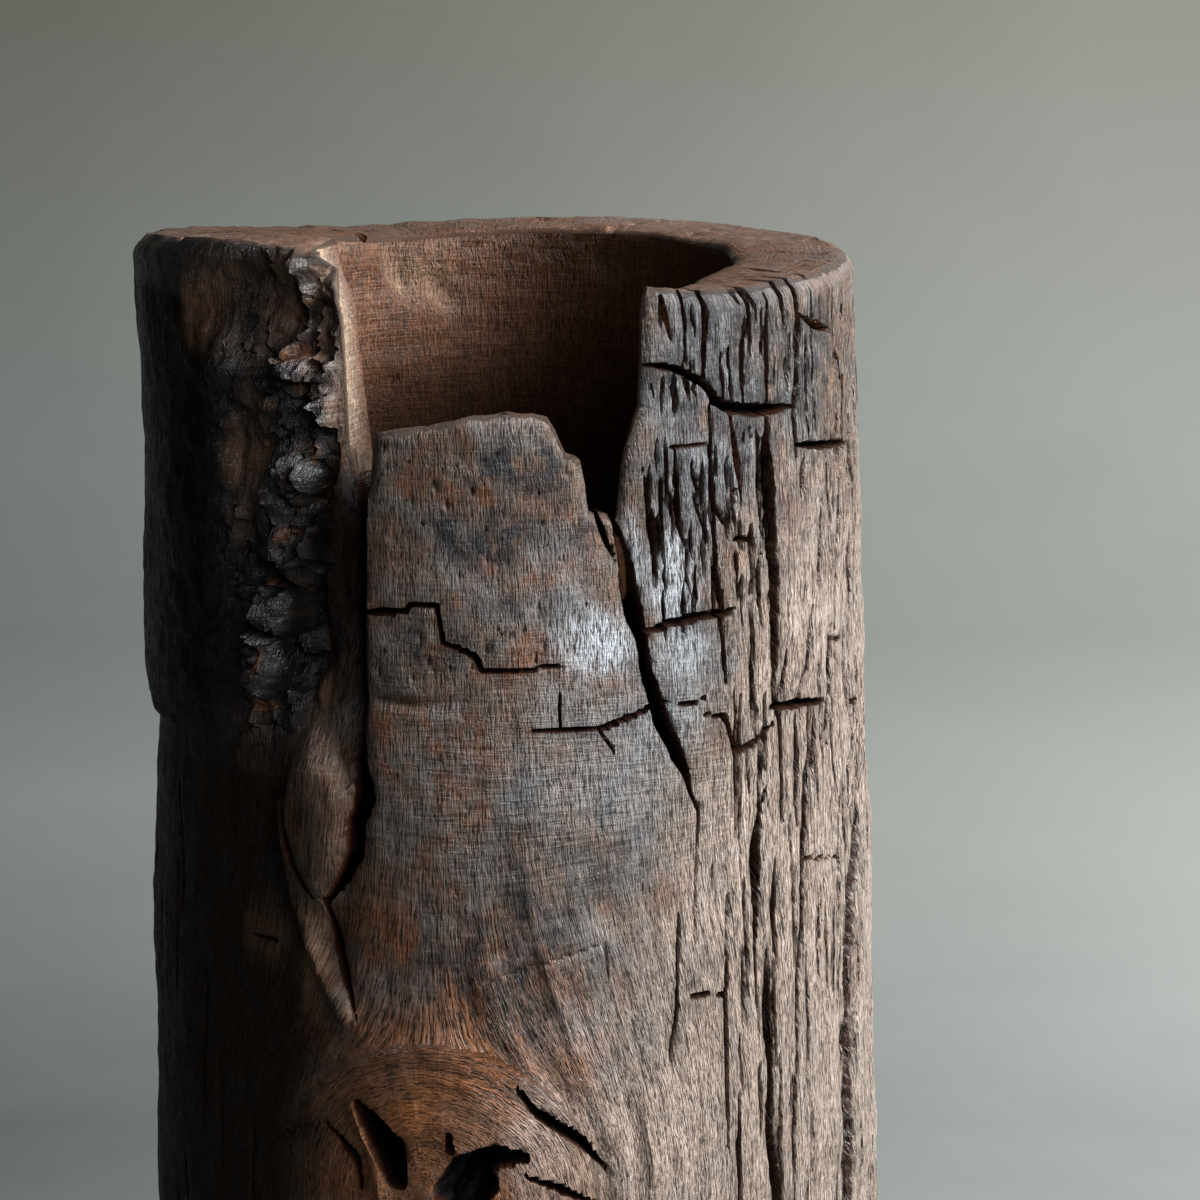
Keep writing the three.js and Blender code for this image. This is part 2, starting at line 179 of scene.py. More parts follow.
@dataclass(frozen=True)
class Waves:
    """Noise by its wavelength in mm, seed, height and number of octaves."""

    size: float | Triple
    seed: int
    height: float = 1.0
    octaves: int = 1

    def at(self, points: Array, share: float | Array = 1.0) -> Array:
        """Adds up the octaves, each twice as fine and half as high as the one before.

        Args:
            points: n by 3 positions in mm.
            share: what the noise is multiplied by.

        Returns:
            n values.
        """
        scaled = points / self.size
        total = np.zeros(len(points))
        for i in range(self.octaves):
            total += gradient_noise(scaled * 2**i + OCTAVE_SHIFT * i, self.seed + i) / 2**i
        return self.height * share * total


Mixed = tuple[Waves, ...]


def mixed(waves: Mixed, points: Array, share: float | Array = 1.0) -> Array:
    """Adds several noises at n by 3 positions, each times a share."""
    return sum(part.at(points, share) for part in waves)


@dataclass(frozen=True)
class Flakes:
    """Angular flakes by their width and height in mm, each with its own height and tilt."""

    wide: float
    high: float
    lean: float
    seed: int
    tilt: float = 1.3
    margin: float = 0.1

    def at(self, across: Array, along: Array) -> tuple[Array, Array]:
        """Works out the flakes at a set of points.

        Args:
            across: first coordinate in mm.
            along: second coordinate in mm.

        Returns:
            The flakes' height, about -1 to 1, and the distance to the edge between two flakes, in flakes.
        """
        spot = np.stack([across / self.wide, along / self.high, np.zeros(across.shape)], axis=1)
        base = np.floor(spot)
        nearest, second = (np.full(across.shape, FAR) for _ in range(2))
        height = np.zeros(across.shape)
        for right, down in np.ndindex(3, 3):
            cell = base + (right - 1, down - 1, 0)
            random = shares(scramble(cell, self.seed), 5)
            off = (cell - spot)[:, :2] + self.margin + (1 - 2 * self.margin) * random[:, :2]
            gap = np.hypot(off[:, 0], off[:, 1])
            slope = ((2 * random[:, 3:] - 1) * off).sum(axis=1) * self.tilt + self.lean * off[:, 0]
            closer = gap < nearest
            second = np.where(closer, nearest, np.minimum(second, gap))
            height = np.where(closer, 2 * random[:, 2] - 1 + slope, height)
            nearest = np.minimum(nearest, gap)
        return height, second - nearest


class Bottom(Enum):
    """How the bottom of a check lies between its lips."""

    CLEFT = "deepest in the middle"
    RAMP = "deepest against its right-hand lip, sloping up to the left"
    PIT = "rounded, with smooth blunt ends"
    BREAK = "steep, with the ends of broken fibres along its lips"


@dataclass(frozen=True)
class Check:
    """A drying check or a break in the wood, as a line of (angle, drop, width, depth)."""

    MARGIN = 4.0  # how far beyond its width a check is worked out
    TIP_WIDTH = 0.3  # share of its width that is left at its tips
    TIP_LENGTH = 5.0  # widths over which it narrows to them
    SWELL = 0.45  # how far its width varies
    RAGGED_HALF = (0.5, 1.6)  # half widths between which its lips grow more ragged
    LIP_SHARE = 0.12  # the most of its depth that its lips are sunk by
    DIRTY_DEPTH = 7.0  # depth from which it is fully dirty
    line: Line
    bottom: Bottom = Bottom.CLEFT
    ragged: float = 0.35
    raw: float = 0.0
    lip: float = 0.6
    lip_reach: float = 1.3
    dirt_reach: float = 2.0

    def cut(self, across: Array, drop: Array, waver: Array) -> tuple[Array, Array, Array]:
        """Works out the points that the check touches.

        Args:
            across: mm round the log from the front.
            drop: mm below the nominal rim.
            waver: noise that roughens the lips.

        Returns:
            Numbers of the touched points, their depth under the surface and how dirty they are.
        """
        steps = list(zip(self.line, self.line[1:]))
        lengths = [math.hypot((b[0] - a[0]) * PER_DEGREE, b[1] - a[1]) for a, b in steps]
        turns, drops, widths, _ = zip(*self.line)
        reach = max(widths) + self.MARGIN
        near = np.flatnonzero(
            (across > min(turns) * PER_DEGREE - reach) & (across < max(turns) * PER_DEGREE + reach)
            & (drop > min(drops) - reach) & (drop < max(drops) + reach)
        )
        rough = waver[near]
        depth, dirt = np.zeros(len(near)), np.zeros(len(near))
        for number, (start, end) in enumerate(steps):
            t, right, down = beside(across[near], drop[near], start, end)
            half = (start[2] + (end[2] - start[2]) * t) / 2
            deep = start[3] + (end[3] - start[3]) * t
            if self.bottom in (Bottom.CLEFT, Bottom.BREAK):
                travelled = sum(lengths[:number]) + t * lengths[number]
                to_tip = np.minimum(travelled, sum(lengths) - travelled) / (2 * half)
                narrowed = self.TIP_WIDTH + (1 - self.TIP_WIDTH) * ease(0.0, self.TIP_LENGTH, to_tip)
                half = half * narrowed * (1 + self.SWELL * rough)
            gap = np.hypot(right, down) + self.ragged * rough * np.clip(half, *self.RAGGED_HALF)
            outside = np.maximum(gap - half, 0)
            shape = self.profile(np.clip(1 - gap / half, 0, 1), outside, right / half, deep)
            depth = np.maximum(depth, deep * shape)
            dirty = np.exp(-outside / self.dirt_reach) * np.clip(deep / self.DIRTY_DEPTH, 0, 1)
            dirt = np.maximum(dirt, dirty)
        return near, depth, dirt

    def profile(self, inside: Array, outside: Array, right: Array, deep: Array) -> Array:
        """The share of the check's depth at each point.

        Args:
            inside: 0 at the lips to 1 in the middle.
            outside: mm beyond the lips.
            right: how far right of the middle, in half widths.
            deep: the check's full depth there.

        Returns:
            0 at the surface to 1 at the bottom.
        """
        if self.bottom is Bottom.RAMP:
            return np.clip(inside * 8, 0, 1) * np.clip((right + 1) / 2, 0, 1) ** 0.8
        if self.bottom is not Bottom.CLEFT:
            return 1 - (1 - inside) ** 2.4
        lip = np.minimum(self.lip, self.LIP_SHARE * deep) * np.exp(-outside / self.lip_reach)
        return np.maximum(1 - (1 - inside) ** 1.5, lip / deep)


@dataclass(frozen=True)
class Scatter:
    """A patch of short checks along the grain, with a fixed seed."""

    # Share of the length and share of the depth along each check, which is pointed at both ends
    STOPS = ((0.0, 0.25), (0.3, 1.0), (0.65, 0.8), (1.0, 0.2))
    DRIFT = 0.3  # degrees by which its stops lie off a straight line
    TIP_WIDTH = 0.4
    angles: Pair
    drops: Pair
    count: int
    length: Pair
    width: Pair
    depth: Pair
    seed: int

    def checks(self) -> list[Check]:
        """Draws the patch's checks, each slightly bent."""
        rng = np.random.default_rng(self.seed)
        made = []
        for _ in range(self.count):
            spans = (self.angles, self.drops, self.length, self.width, self.depth)
            angle, top, size, width, deep = (rng.uniform(*span) for span in spans)
            drift = rng.uniform(-self.DRIFT, self.DRIFT, len(self.STOPS))
            line = tuple(
                (angle + off, top + size * s, width * (self.TIP_WIDTH + (1 - self.TIP_WIDTH) * w), deep * w)
                for off, (s, w) in zip(drift, self.STOPS)
            )
            made.append(Check(line))
        return made


@dataclass(frozen=True)
class Patch:
    """An oval patch of the wall: middle, half width in degrees, half height, strength and softness."""

    angle: float
    drop: float
    wide: float
    high: float
    strength: float = 1.0
    soft: float = 0.5

    def share(self, angle: Array, drop: Array, waver: Array) -> Array:
        """How strongly each point lies in the patch, whose edge wavers."""
        gap = np.hypot((angle - self.angle) / self.wide, (drop - self.drop) / self.high) + waver
        return self.strength * ease(1 + self.soft, 1 - self.soft, gap)


@dataclass(frozen=True)
class Spots:
    """Where one finish lies: how far its edges waver, how much of it lies everywhere, and its patches."""

    waver: float
    everywhere: float
    patches: Line

    def share(self, angle: Array, drop: Array, noise: Array) -> Array:
        """How strongly the finish lies at each point, given the noise of its edges."""
        found = [Patch(*patch).share(angle, drop, self.waver * noise) for patch in self.patches]
        return self.everywhere + np.maximum.reduce(found)


@dataclass(frozen=True)
class LogForm:
    """The log's plain shape, as its solid has it, and the outline of its broken rim."""

    rim_height: float = 360.0
    rim_radius: float = 89.0
    foot_radius: float = 96.0
    hollow_radius: float = 59.0
    lean: float = 6.0
    lobes: int = 3
    lobe_height: float = 1.2
    bark_thickness: float = 3.0
    bark_angle: float = -95.0
    bark_spread: float = 42.0
    bark_step_drop: float = 108.0
    knot_angle: float = -10.5
    knot_height: float = 146.0
    knot_radius: float = 38.0
    knot_bulge: float = 5.0
    knot_spread: float = 42.0
    rebate_radius: float = 67.0
    rebate_height: float = 19.3
    # How closely the fibres are squeezed beside the knot, how far out that fades, and how long its rings are
    grain_squeeze: float = 0.6
    grain_reach: Pair = (120, 50)
    ring_length: float = 30.0
    # Share of the wall that the break takes off over its slant, and the angle from which it falls off faster
    slant_share: float = 0.83
    steep_from: float = 18.5
    steepness: float = 2.2
    # How far the rim rises at each angle
    rim_rise: Line = (
        (-180, 0.9), (-150, -0.5), (-120, 2.4), (-105, 4), (-90, 4.6), (-75, 7), (-60, 8.8), (-45, 9.5),
        (-29, 9), (25, 2), (34, -0.8), (44, -1.5), (56, -0.7), (75, -0.3), (90, 0), (105, 1), (120, 1),
        (150, 1.8), (165, 1.6), (180, 0.9),
    )
    # How far the burnt left has shrunk at each drop
    left_shrink: Line = (
        (0, 0.6), (5, 0.8), (15, 1.5), (25, 2.3), (36, 2.6), (46, 3), (66, 2.7), (77, 2), (90, 1.5),
        (100, 1.6), (108, 2.8), (118, 2.8), (128, 2), (150, 1.3), (160, 0.8), (193, 0.5), (205, 0),
    )
    # How far the fire has eaten the cheek back beside the break, by angle, and the share of that by drop
    cheek_burn: Line = ((-48, 0), (-27, 8), (-23, 8), (-19, 0))
    cheek_burn_share: Line = ((80, 1), (112, 0))
    # The broken front: angle, drop, how far back the break slants behind its edge
    front_break: Line = (
        (-30.2, -8.8, 11), (-28.4, -5, 11), (-27, 0, 11), (-26, 8, 10), (-25.5, 24, 9), (-25.1, 43, 6),
        (-18.6, 45, 5), (-17.9, 34, 4), (-17.5, 31.2, 14), (-14, 30.2, 15), (-8.4, 29, 16), (-5, 27.4, 16),
        (-2.4, 26.8, 16), (2, 26.2, 16), (6.4, 26.2, 16), (8.4, 27.2, 15), (9.4, 30, 6), (11, 35.6, 6),
        (13.2, 37, 9), (13.9, 43, 5), (14.3, 49.4, 6), (17.6, 50.4, 8), (18.8, 51.6, 14), (19.5, 42, 30),
        (20.6, 34, 40), (22.9, 25, 50), (23.5, 12, 56), (24, 1, 60), (25, -2, 60),
    )

    def middle(self, z: Array) -> Array:
        """X of the log's middle at a height."""
        return self.lean * (0.5 - z / self.rim_height)

    def plain_radius(self, z: Array) -> Array:
        """Radius of the tapering log without its swellings."""
        return self.foot_radius + (self.rim_radius - self.foot_radius) * z / self.rim_height

    def in_break(self, angle: Array) -> Array:
        """Whether an angle lies in the broken front."""
        return (angle > self.front_break[0][0]) & (angle < self.front_break[-1][0])

    def top_drop(self, angle: Array) -> Array:
        """Drop of the rim or of the break at an angle."""
        return np.where(self.in_break(angle), follow(angle, self.front_break), -follow(angle, self.rim_rise))

    def break_edge(self, angle: Array, drop: Array) -> tuple[Array, Array]:
        """Distance to the edge of the broken front, and how far the wall is broken away behind it.

        Args:
            angle, drop: the points on the wall.

        Returns:
            Millimetres to the edge, and the broken share of the wall: 1 at the edge, 0 where the break ends.
        """
        best = np.full(angle.shape, FAR)
        slant = np.zeros(angle.shape)
        for start, end in zip(self.front_break, self.front_break[1:]):
            t, right, down = beside(angle * PER_DEGREE, drop, start, end)
            gap = np.hypot(right, down)
            reach = start[2] + (end[2] - start[2]) * t
            power = self.steepness if start[0] > self.steep_from else 1.0
            slant = np.maximum(slant, np.clip(1 - self.slant_share * gap / reach, 0, 1) ** power)
            best = np.minimum(best, gap)
        return best, slant

    def knot_offset(self, angle: Array, z: Array) -> tuple[Array, Array]:
        """Millimetres to the right of the knot's middle and above it."""
        return turned(angle - self.knot_angle) * PER_DEGREE, z - self.knot_height

    def grain(self, angle: Array, z: Array) -> Array:
        """Positions in which every fibre of the log is upright.

        The fibres part above the knot, run round it and close below it, and inside it they are rings.

        Args:
            angle, z: the points on the wall.

        Returns:
            n by 3 positions in mm.
        """
        right, up = self.knot_offset(angle, z)
        span = np.maximum(np.hypot(right, up), TINY)
        squeeze = self.grain_squeeze * np.clip(self.knot_radius / span, 0, 1) ** 2
        squeeze *= ease(*self.grain_reach, span)
        outside = span > self.knot_radius
        shifted = np.where(outside, right * (1 - squeeze), span - self.knot_radius)
        along = np.where(outside, up * (1 + squeeze), np.arctan2(right, up) * self.ring_length)
        return around(self.knot_angle + shifted / PER_DEGREE, self.plain_radius(z), along)


FORM = LogForm()

# Checks and breaks: lines of (angle, drop, width, depth)
SPLIT_LINES = (
    # The groove below the left split, beside the lobe
    (
        (-20.4, 92, 6.4, 16), (-21.2, 109, 5.8, 15), (-20.3, 117, 5.6, 15), (-21.6, 124, 4.8, 14),
        (-21.8, 131, 4.2, 13), (-23.8, 137.5, 3.4, 11), (-26.4, 143.5, 2.6, 9), (-28.8, 143.5, 1.8, 6),
    ),
    ((-34.8, 114, 1.6, 1), (-33.6, 124, 2.2, 2.4), (-31.6, 135, 2.4, 4), (-28.6, 143.5, 2.4, 6)),
    ((-27, 143, 3.2, 10), (-25.2, 153, 3, 9), (-23.6, 163, 2.4, 6), (-21.8, 171.5, 1.2, 2)),
    # The right-hand split that the splinter lies in, with the finger of wood to its left
    ((15.2, 47, 2.2, 14), (15.8, 52, 2, 13), (16.9, 57, 1.4, 9), (18, 61, 1, 5)),
    (
        (17.4, 49, 1.4, 10), (18.6, 54.5, 4.4, 15), (19.5, 60, 6.6, 16), (20.1, 68, 6.4, 17),
        (20.8, 74, 4.6, 18), (22.1, 80.3, 2.8, 19), (22.6, 87, 3.2, 18), (23.9, 94, 3.6, 18),
        (24.6, 98.3, 4.2, 17), (27.4, 108.3, 3.8, 14), (28.9, 113.4, 2, 9), (29.7, 118.4, 1.2, 6),
        (31, 122.8, 1, 4), (30.6, 133, 0.8, 1.6), (29.8, 155, 0.8, 1.2),
    ),
    # The main checks down the right
    (
        (55.4, -12, 2.2, 12), (55.2, 4, 2.6, 15), (56, 12, 2.8, 16), (55.4, 22, 3, 17), (54.6, 32, 3.2, 17),
        (54.6, 42, 1.8, 9),
    ),
    (
        (47.4, 28, 3, 15), (47, 38, 4.6, 18), (47.4, 51.5, 4.6, 19), (47.8, 62, 4.8, 19), (48.2, 72, 4.4, 18),
        (47.6, 82, 3.6, 16), (47.4, 90, 2.8, 12), (47, 101, 2, 7),
    ),
    ((50.6, 88, 1.2, 6), (48.6, 100, 1, 5)),
    ((57.8, 82, 0.9, 4), (56.6, 94, 1.2, 6), (52.7, 101, 1.4, 6)),
    (
        (44.6, 121, 0.9, 4), (43.4, 127, 2.4, 10), (42.4, 134, 4.6, 15), (42.2, 143, 3.2, 14),
        (41.8, 157, 1.4, 8),
    ),
    ((46.7, 141, 1.4, 7), (46, 148, 2.6, 11), (45.6, 156, 1.8, 9), (45.4, 161, 1, 6)),
    (
        (44, 160, 1.4, 7), (43.7, 168, 3.4, 13), (43.8, 180, 3.6, 13), (44.2, 192, 2.2, 10),
        (43.8, 205, 2.6, 11), (45.2, 221, 4, 13), (45.3, 240, 3, 10), (44.4, 262, 1.6, 6), (44.9, 288, 1, 3),
    ),
    (
        (56.9, 113, 1.2, 6), (55.5, 120, 2, 9), (54.5, 134, 2.2, 10), (53.2, 151, 1.8, 8), (51, 175, 1.4, 7),
        (50.4, 190, 1, 5), (49.5, 210, 1.2, 5), (49, 232, 0.8, 3),
    ),
    ((52.8, 104, 1.8, 8), (53, 115, 2.2, 9), (52.6, 124, 1.4, 7), (52.7, 133, 0.9, 4)),
    ((46.6, 95, 1.2, 6), (48.5, 105, 1.8, 8), (48.7, 119, 1.4, 7), (48.9, 131, 0.9, 3)),
    ((58.2, 105, 1, 6), (56.8, 121, 1.2, 6)),
    ((64.8, 86, 0.9, 4), (63.2, 106, 1.2, 6), (62.3, 116, 0.9, 4)),
    ((69.6, 53, 1, 5), (68, 75, 1.2, 6), (66.1, 94, 1, 5)),
    ((62, 54, 0.9, 4), (60.3, 75, 0.9, 4)),
    ((56.8, 43.7, 1.6, 6), (56, 49, 1.6, 6), (55.7, 52, 0.9, 3)),
    ((75.6, 17, 1.2, 5), (80.8, 29, 1.4, 6)),
    ((35.4, 50, 1, 6), (35.4, 66, 1.4, 8), (36, 76, 1.4, 7), (36.4, 93, 1, 5)),
    ((39, 60, 0.9, 4), (39.4, 75, 0.9, 4)),
    ((42.4, 83, 0.9, 5), (42.1, 101, 1, 5)),
    ((40.6, 110, 0.9, 4), (41.2, 121, 0.8, 3)),
    ((65.4, 128, 0.8, 3), (64, 153, 0.8, 3)),
)
BLOCK_LINES = (
    # The right-hand block and the staves below it
    ((30.5, -12, 1, 5), (30.5, 5, 1, 5), (30.9, 16, 0.9, 5)),
    ((34.2, -14, 1.8, 8), (34.5, 9, 1.6, 8), (33.9, 20, 1.6, 8)),
    ((37.3, 14, 0.8, 4), (37.7, 25, 1.2, 6)),
    ((39.2, 15, 0.8, 4), (39.5, 27, 1.3, 6)),
    ((42.9, -14, 1.7, 8), (43.5, 9, 1.1, 6), (43.6, 13, 0.8, 3)),
    ((42, 8.5, 1, 5), (41.9, 18, 1.3, 7), (42.1, 28, 1.7, 8)),
    ((48, 2, 1, 5), (47.3, 13, 1.4, 8), (47.7, 28, 1.9, 9)),
    ((51.5, -14, 1.9, 9), (51.4, 6, 1.7, 8), (51.3, 11, 0.9, 4)),
    ((28.3, 35, 0.9, 5), (28.5, 44, 1.7, 8), (28.8, 54, 1.6, 7), (29.8, 60, 0.8, 3)),
    ((22.9, 40, 1, 5), (23.8, 56, 1, 4)),
    ((25.7, 41, 0.9, 5), (25.8, 55, 1, 4)),
    ((31.8, 41, 0.9, 5), (32.2, 50, 1, 4)),
    ((35, 26, 1.2, 7), (34.8, 38, 1.1, 6), (35.4, 50, 1.4, 7), (38, 57, 0.9, 4)),
    ((31, 46, 0.8, 4), (33.6, 57, 1, 5)),
    ((44.9, 33, 1, 5), (45.4, 44, 1.2, 6), (44.6, 53, 0.9, 4)),
    ((60.5, 2, 0.9, 4), (60, 26, 1, 5)),
    ((64.8, 46, 1, 5), (65, 70, 0.9, 4)),
)
BREAK_LINES = (
    # Breaks across the grain at the right
    (
        (22.7, 15.5, 0.9, 2), (28.1, 16.9, 1.5, 7), (33.5, 20.8, 2, 9), (36.2, 25.6, 2.4, 10),
        (38.8, 27.8, 2.8, 9), (45.5, 29.3, 3.4, 7), (54.5, 29.8, 2.8, 8),
    ),
    ((54.8, 39.4, 1.7, 9), (62.5, 40.8, 2, 9), (74.4, 42.6, 1.6, 6)),
    ((20.6, 79.2, 2, 12), (25, 77.6, 2, 12), (30, 76.4, 2, 12), (36, 76.2, 1.6, 9), (40.2, 75.8, 0.8, 4)),
    ((38.2, 58.6, 1, 5), (41.2, 59.4, 1.5, 6), (44.2, 60, 1, 5)),
    ((26.6, 35.6, 0.7, 2), (30, 35.8, 0.9, 3), (34.4, 35.4, 0.7, 2)),
    ((45.6, 101, 1.8, 9), (49.4, 101.8, 2.4, 10), (56.2, 102.7, 2.2, 9), (63.4, 104.6, 1.2, 6)),
    ((70, 107, 1.2, 6), (78, 109, 1.6, 7)),
    ((65, 89.4, 1.2, 6), (70, 90.4, 1.2, 6)),
    ((31.9, 99.5, 0.9, 4), (36.1, 101, 1.1, 5), (38, 110, 1.4, 7), (42, 109, 1.9, 8), (46.6, 105.4, 1.9, 8)),
    ((25.6, 95.8, 0.8, 4), (30, 96.6, 0.9, 4), (33.4, 95.4, 0.7, 2)),
    ((54.3, 141.2, 0.8, 3), (65, 144.3, 0.7, 2)),
    # The stepped break across the tongue, and those below it
    (
        (-21, 73.4, 1.5, 6), (-13.1, 72.4, 1.3, 6), (-12.3, 70.9, 0.9, 4), (-8.5, 70.7, 1.1, 5),
        (-7.6, 79.6, 1.1, 6), (-5.4, 80.8, 1.2, 6), (-2.9, 82.5, 1.3, 6), (-2, 86.3, 1.1, 5),
        (4.1, 86.2, 1.1, 4), (7, 85.4, 0.9, 3), (11.2, 85.7, 0.8, 2),
    ),
    ((4, 100.4, 0.8, 2), (15.1, 100.7, 1.4, 5), (22.9, 96.6, 1.5, 7)),
    ((15.1, 101.2, 1.1, 4), (17.5, 106.8, 0.8, 2)),
    ((26.4, 166.8, 1.2, 3.5), (34.4, 168.6, 1.2, 3.5)),
    ((35.8, 159, 1.3, 4), (34.7, 169, 1.1, 4), (34.7, 193.5, 1, 3), (35, 207, 0.8, 2)),
)
HAIRLINES = (
    ((9.2, 91, 0.8, 2), (9.2, 101, 0.9, 3)),
    ((27.1, 147, 0.9, 2.5), (26, 171.4, 1, 3), (24.9, 184, 0.8, 1.5)),
    ((-2.7, 160.8, 1.3, 0.7), (5.1, 156.3, 1.3, 1), (15, 152.2, 1.3, 1), (15.6, 162, 1.2, 0.8)),
    ((18, 186.2, 1.2, 0.8), (24.9, 184.3, 1.2, 0.8)),
    ((33.8, 135, 0.8, 1.6), (33.5, 145, 0.8, 1.4)),
    ((36.6, 143, 0.8, 1.4), (35.4, 160, 0.8, 2)),
)
SCATTERS = (
    Scatter((-18, 14), (32, 96), 70, (1.8, 4), (1.1, 2.2), (0.6, 1.6), 20),
    Scatter((23, 47), (32, 74), 56, (5, 18), (0.8, 1.5), (2.5, 5.5), 11),
    Scatter((24, 56), (-3, 20), 36, (4, 13), (0.8, 1.4), (2.5, 5), 12),
    Scatter((57, 84), (0, 84), 46, (6, 26), (0.8, 1.3), (2, 4.5), 13),
    Scatter((38, 84), (84, 170), 70, (8, 36), (0.8, 1.3), (2, 5), 14),
    Scatter((36, 86), (160, 320), 70, (12, 46), (0.8, 1.3), (2, 5), 15),
    Scatter((86, 175), (0, 320), 60, (18, 70), (0.9, 1.8), (1.6, 4.5), 16),
    Scatter((-178, -96), (0, 320), 54, (18, 80), (0.9, 1.8), (1.6, 4.5), 17),
    Scatter((-60, 36), (250, 335), 26, (12, 40), (0.7, 1.3), (1.2, 3), 18),
    Scatter((-92, -40), (120, 330), 22, (16, 60), (0.7, 1.4), (1, 3), 19),
)
CHECKS = (
    # The deep split between the charred cheek and the tongue, and a break below the cheek
    Check((
        (-22.2, 41, 11, 30), (-22.4, 50, 11, 27), (-22.6, 58, 11, 23), (-22.8, 70, 10.5, 19),
        (-22.9, 84, 10, 15), (-22.4, 95, 9.5, 12), (-22.6, 106, 7, 8), (-23.5, 114, 4, 3),
    ), Bottom.RAMP, 0.12),
    Check(((-43, 156.2, 0.8, 1.5), (-36.4, 156, 1, 2)), Bottom.BREAK, 0.4),
    # The wide check at the far right, and short gashes of raw wood
    Check((
        (74.8, 104, 2, 2), (78.2, 118, 4.6, 6), (77.4, 130, 6, 7), (75, 143, 7.4, 8), (70.5, 157, 8, 8),
        (68.8, 175, 8.2, 8), (68.3, 196, 8, 8), (66.4, 231, 7.2, 7), (65.6, 262, 5, 5), (65, 290, 2, 2),
    ), ragged=0.2),
    Check(((26.6, 0, 1.6, 4), (27.3, 4.7, 3.4, 6), (28, 10, 1.8, 5)), raw=0.9),
    Check(((56, 7.8, 1.8, 8), (60.4, 10.9, 2.6, 8), (68.8, 14.1, 2.2, 7)), raw=0.9),
    Check(((38.8, 28, 2.2, 8), (39.8, 36, 3.4, 8), (41, 45, 2.2, 7), (41.2, 52, 1, 5)), raw=0.5),
    *(Check(line) for line in SPLIT_LINES),
    *(Check(line, lip=1.1, lip_reach=1.8) for line in BLOCK_LINES),
    *(Check(line, Bottom.BREAK, 0.6, 0.7) for line in BREAK_LINES),
    *(Check(line, ragged=0.25) for line in HAIRLINES),
    *(check for patch in SCATTERS for check in patch.checks()),
    # The dent under the break across the tongue
    Check(((-19.5, 93.2, 3, 0.8), (-12, 94.6, 3.4, 1.2), (-4.5, 93, 2.4, 0.7)), Bottom.PIT, 0.15),
    # Rotten holes and radial cracks of the knot
    Check((
        (-22, 191, 1, 4), (-19.4, 195.5, 5, 12), (-16.6, 201.5, 8, 17), (-15.6, 208.5, 5.6, 13),
    ), Bottom.PIT, 0.1),
    Check(((-27, 198, 1.2, 3), (-24, 201.6, 2.6, 7), (-21.8, 205, 2.4, 7), (-20.8, 214, 1.4, 4)), ragged=0.1),
    Check((
        (1.5, 185, 1.4, 4), (4.2, 191.5, 2.4, 9), (10.4, 199, 2.6, 9), (14.5, 207.2, 1.2, 4),
    ), Bottom.BREAK, 0.3, 0.3),
    Check((
        (-8.6, 211, 6, 10), (-6, 205.2, 6.6, 14), (-1.6, 202, 6, 13), (2.6, 202.2, 2.4, 6),
    ), Bottom.PIT, 0.15),
    Check(((-6.6, 216, 8, 10), (-3.6, 208.4, 8, 14)), Bottom.PIT, 0.15),
    Check(((2.7, 206.9, 2.2, 7), (6.6, 209.6, 2.6, 6), (12.8, 214.9, 1.6, 4)), Bottom.BREAK, 0.3, 0.3),
    Check(((-8, 197.2, 1.6, 4), (-7.8, 200.6, 2.2, 5)), Bottom.PIT, 0.1),
    Check(((-37.8, 205.8, 0.8, 1), (-32, 201, 0.9, 1.2), (-27.5, 197.3, 0.9, 1.4)), ragged=0.2),
    Check(((-16.5, 222, 2.6, 6), (-20.5, 231, 4, 9), (-23.5, 240, 2, 4)), Bottom.PIT, 0.15),
    Check(((-6, 224, 3, 8), (-4, 234, 4, 9), (-3, 245, 1.8, 4)), Bottom.PIT, 0.15),
)

# What the fire left of the cheek: height of each form over the plain surface in its strength
BURNT_FORMS = {
    "window": Patch(-44.4, 4, 12, 12, -2, 0.6),  # fibrous, under the rim
    "pillow": Patch(-47.2, 17, 2.8, 6, 2.4, 0.5),  # below the window
    "recess": Patch(-29.1, 6, 1.8, 12, -3.4, 0.5),  # beside the break
    "shelf": Patch(-30.7, 18, 4.4, 3.4, 4.2, 0.15),  # of char
    "shelf_lumps": Patch(-28.9, 27, 3.2, 6.5, 2.4, 0.3),  # under the shelf
    "scoop": Patch(-42.7, 42, 4.8, 15, -3.8, 0.4),  # smooth
    "scoop_lumps": Patch(-33.7, 52, 5.6, 13, 5, 0.25),  # beside the scoop
    "plate": Patch(-36.3, 76, 3.8, 7.2, 6, 0.12),  # flat
    "lower_plate": Patch(-37.8, 88.5, 3.4, 8, 5.4, 0.15),
    "furrow": Patch(-30.9, 80, 2.4, 15, -3.4, 0.4),  # beside the plates
}

# Where each finish lies: waver of its edges, how much of it lies everywhere, and its patches
# Scorched brown wood on the burnt cheek and below it. Its pale tone is also painted light, which brightens
# faces that the lamps barely reach.
SCORCHED_AND_LIT = Spots(0.3, 0, (
    (-44.4, 4, 12, 12, 1), (-42.4, 42, 4.6, 15, 1, 0.4), (-28.9, 7, 2.2, 12, 0.8), (-38.5, 154, 4, 9, 0.35),
    (-29.2, 88, 0.7, 18, 0.5), (-28.2, 124, 5.4, 19, 0.48), (-29, 154, 3.4, 16, 0.5),
    (-28.8, 98, 2.2, 8, 0.7),
))
EMBERS = Spots(0.4, 0, (
    (-32.3, 23.2, 2, 1.2, 0.9), (-30.9, 37.3, 1.6, 1.4, 0.4), (-33, 56.3, 1.6, 1.2, 0.4),
    (-35.7, 68.4, 3, 0.9, 0.5), (-37.1, 87.5, 0.5, 4, 0.6), (-38.6, 98.6, 2.2, 1.4, 0.7),
    (-32.7, 14.4, 2, 1.4, 0.5), (-37.9, 27, 1.6, 1, 0.4),
))
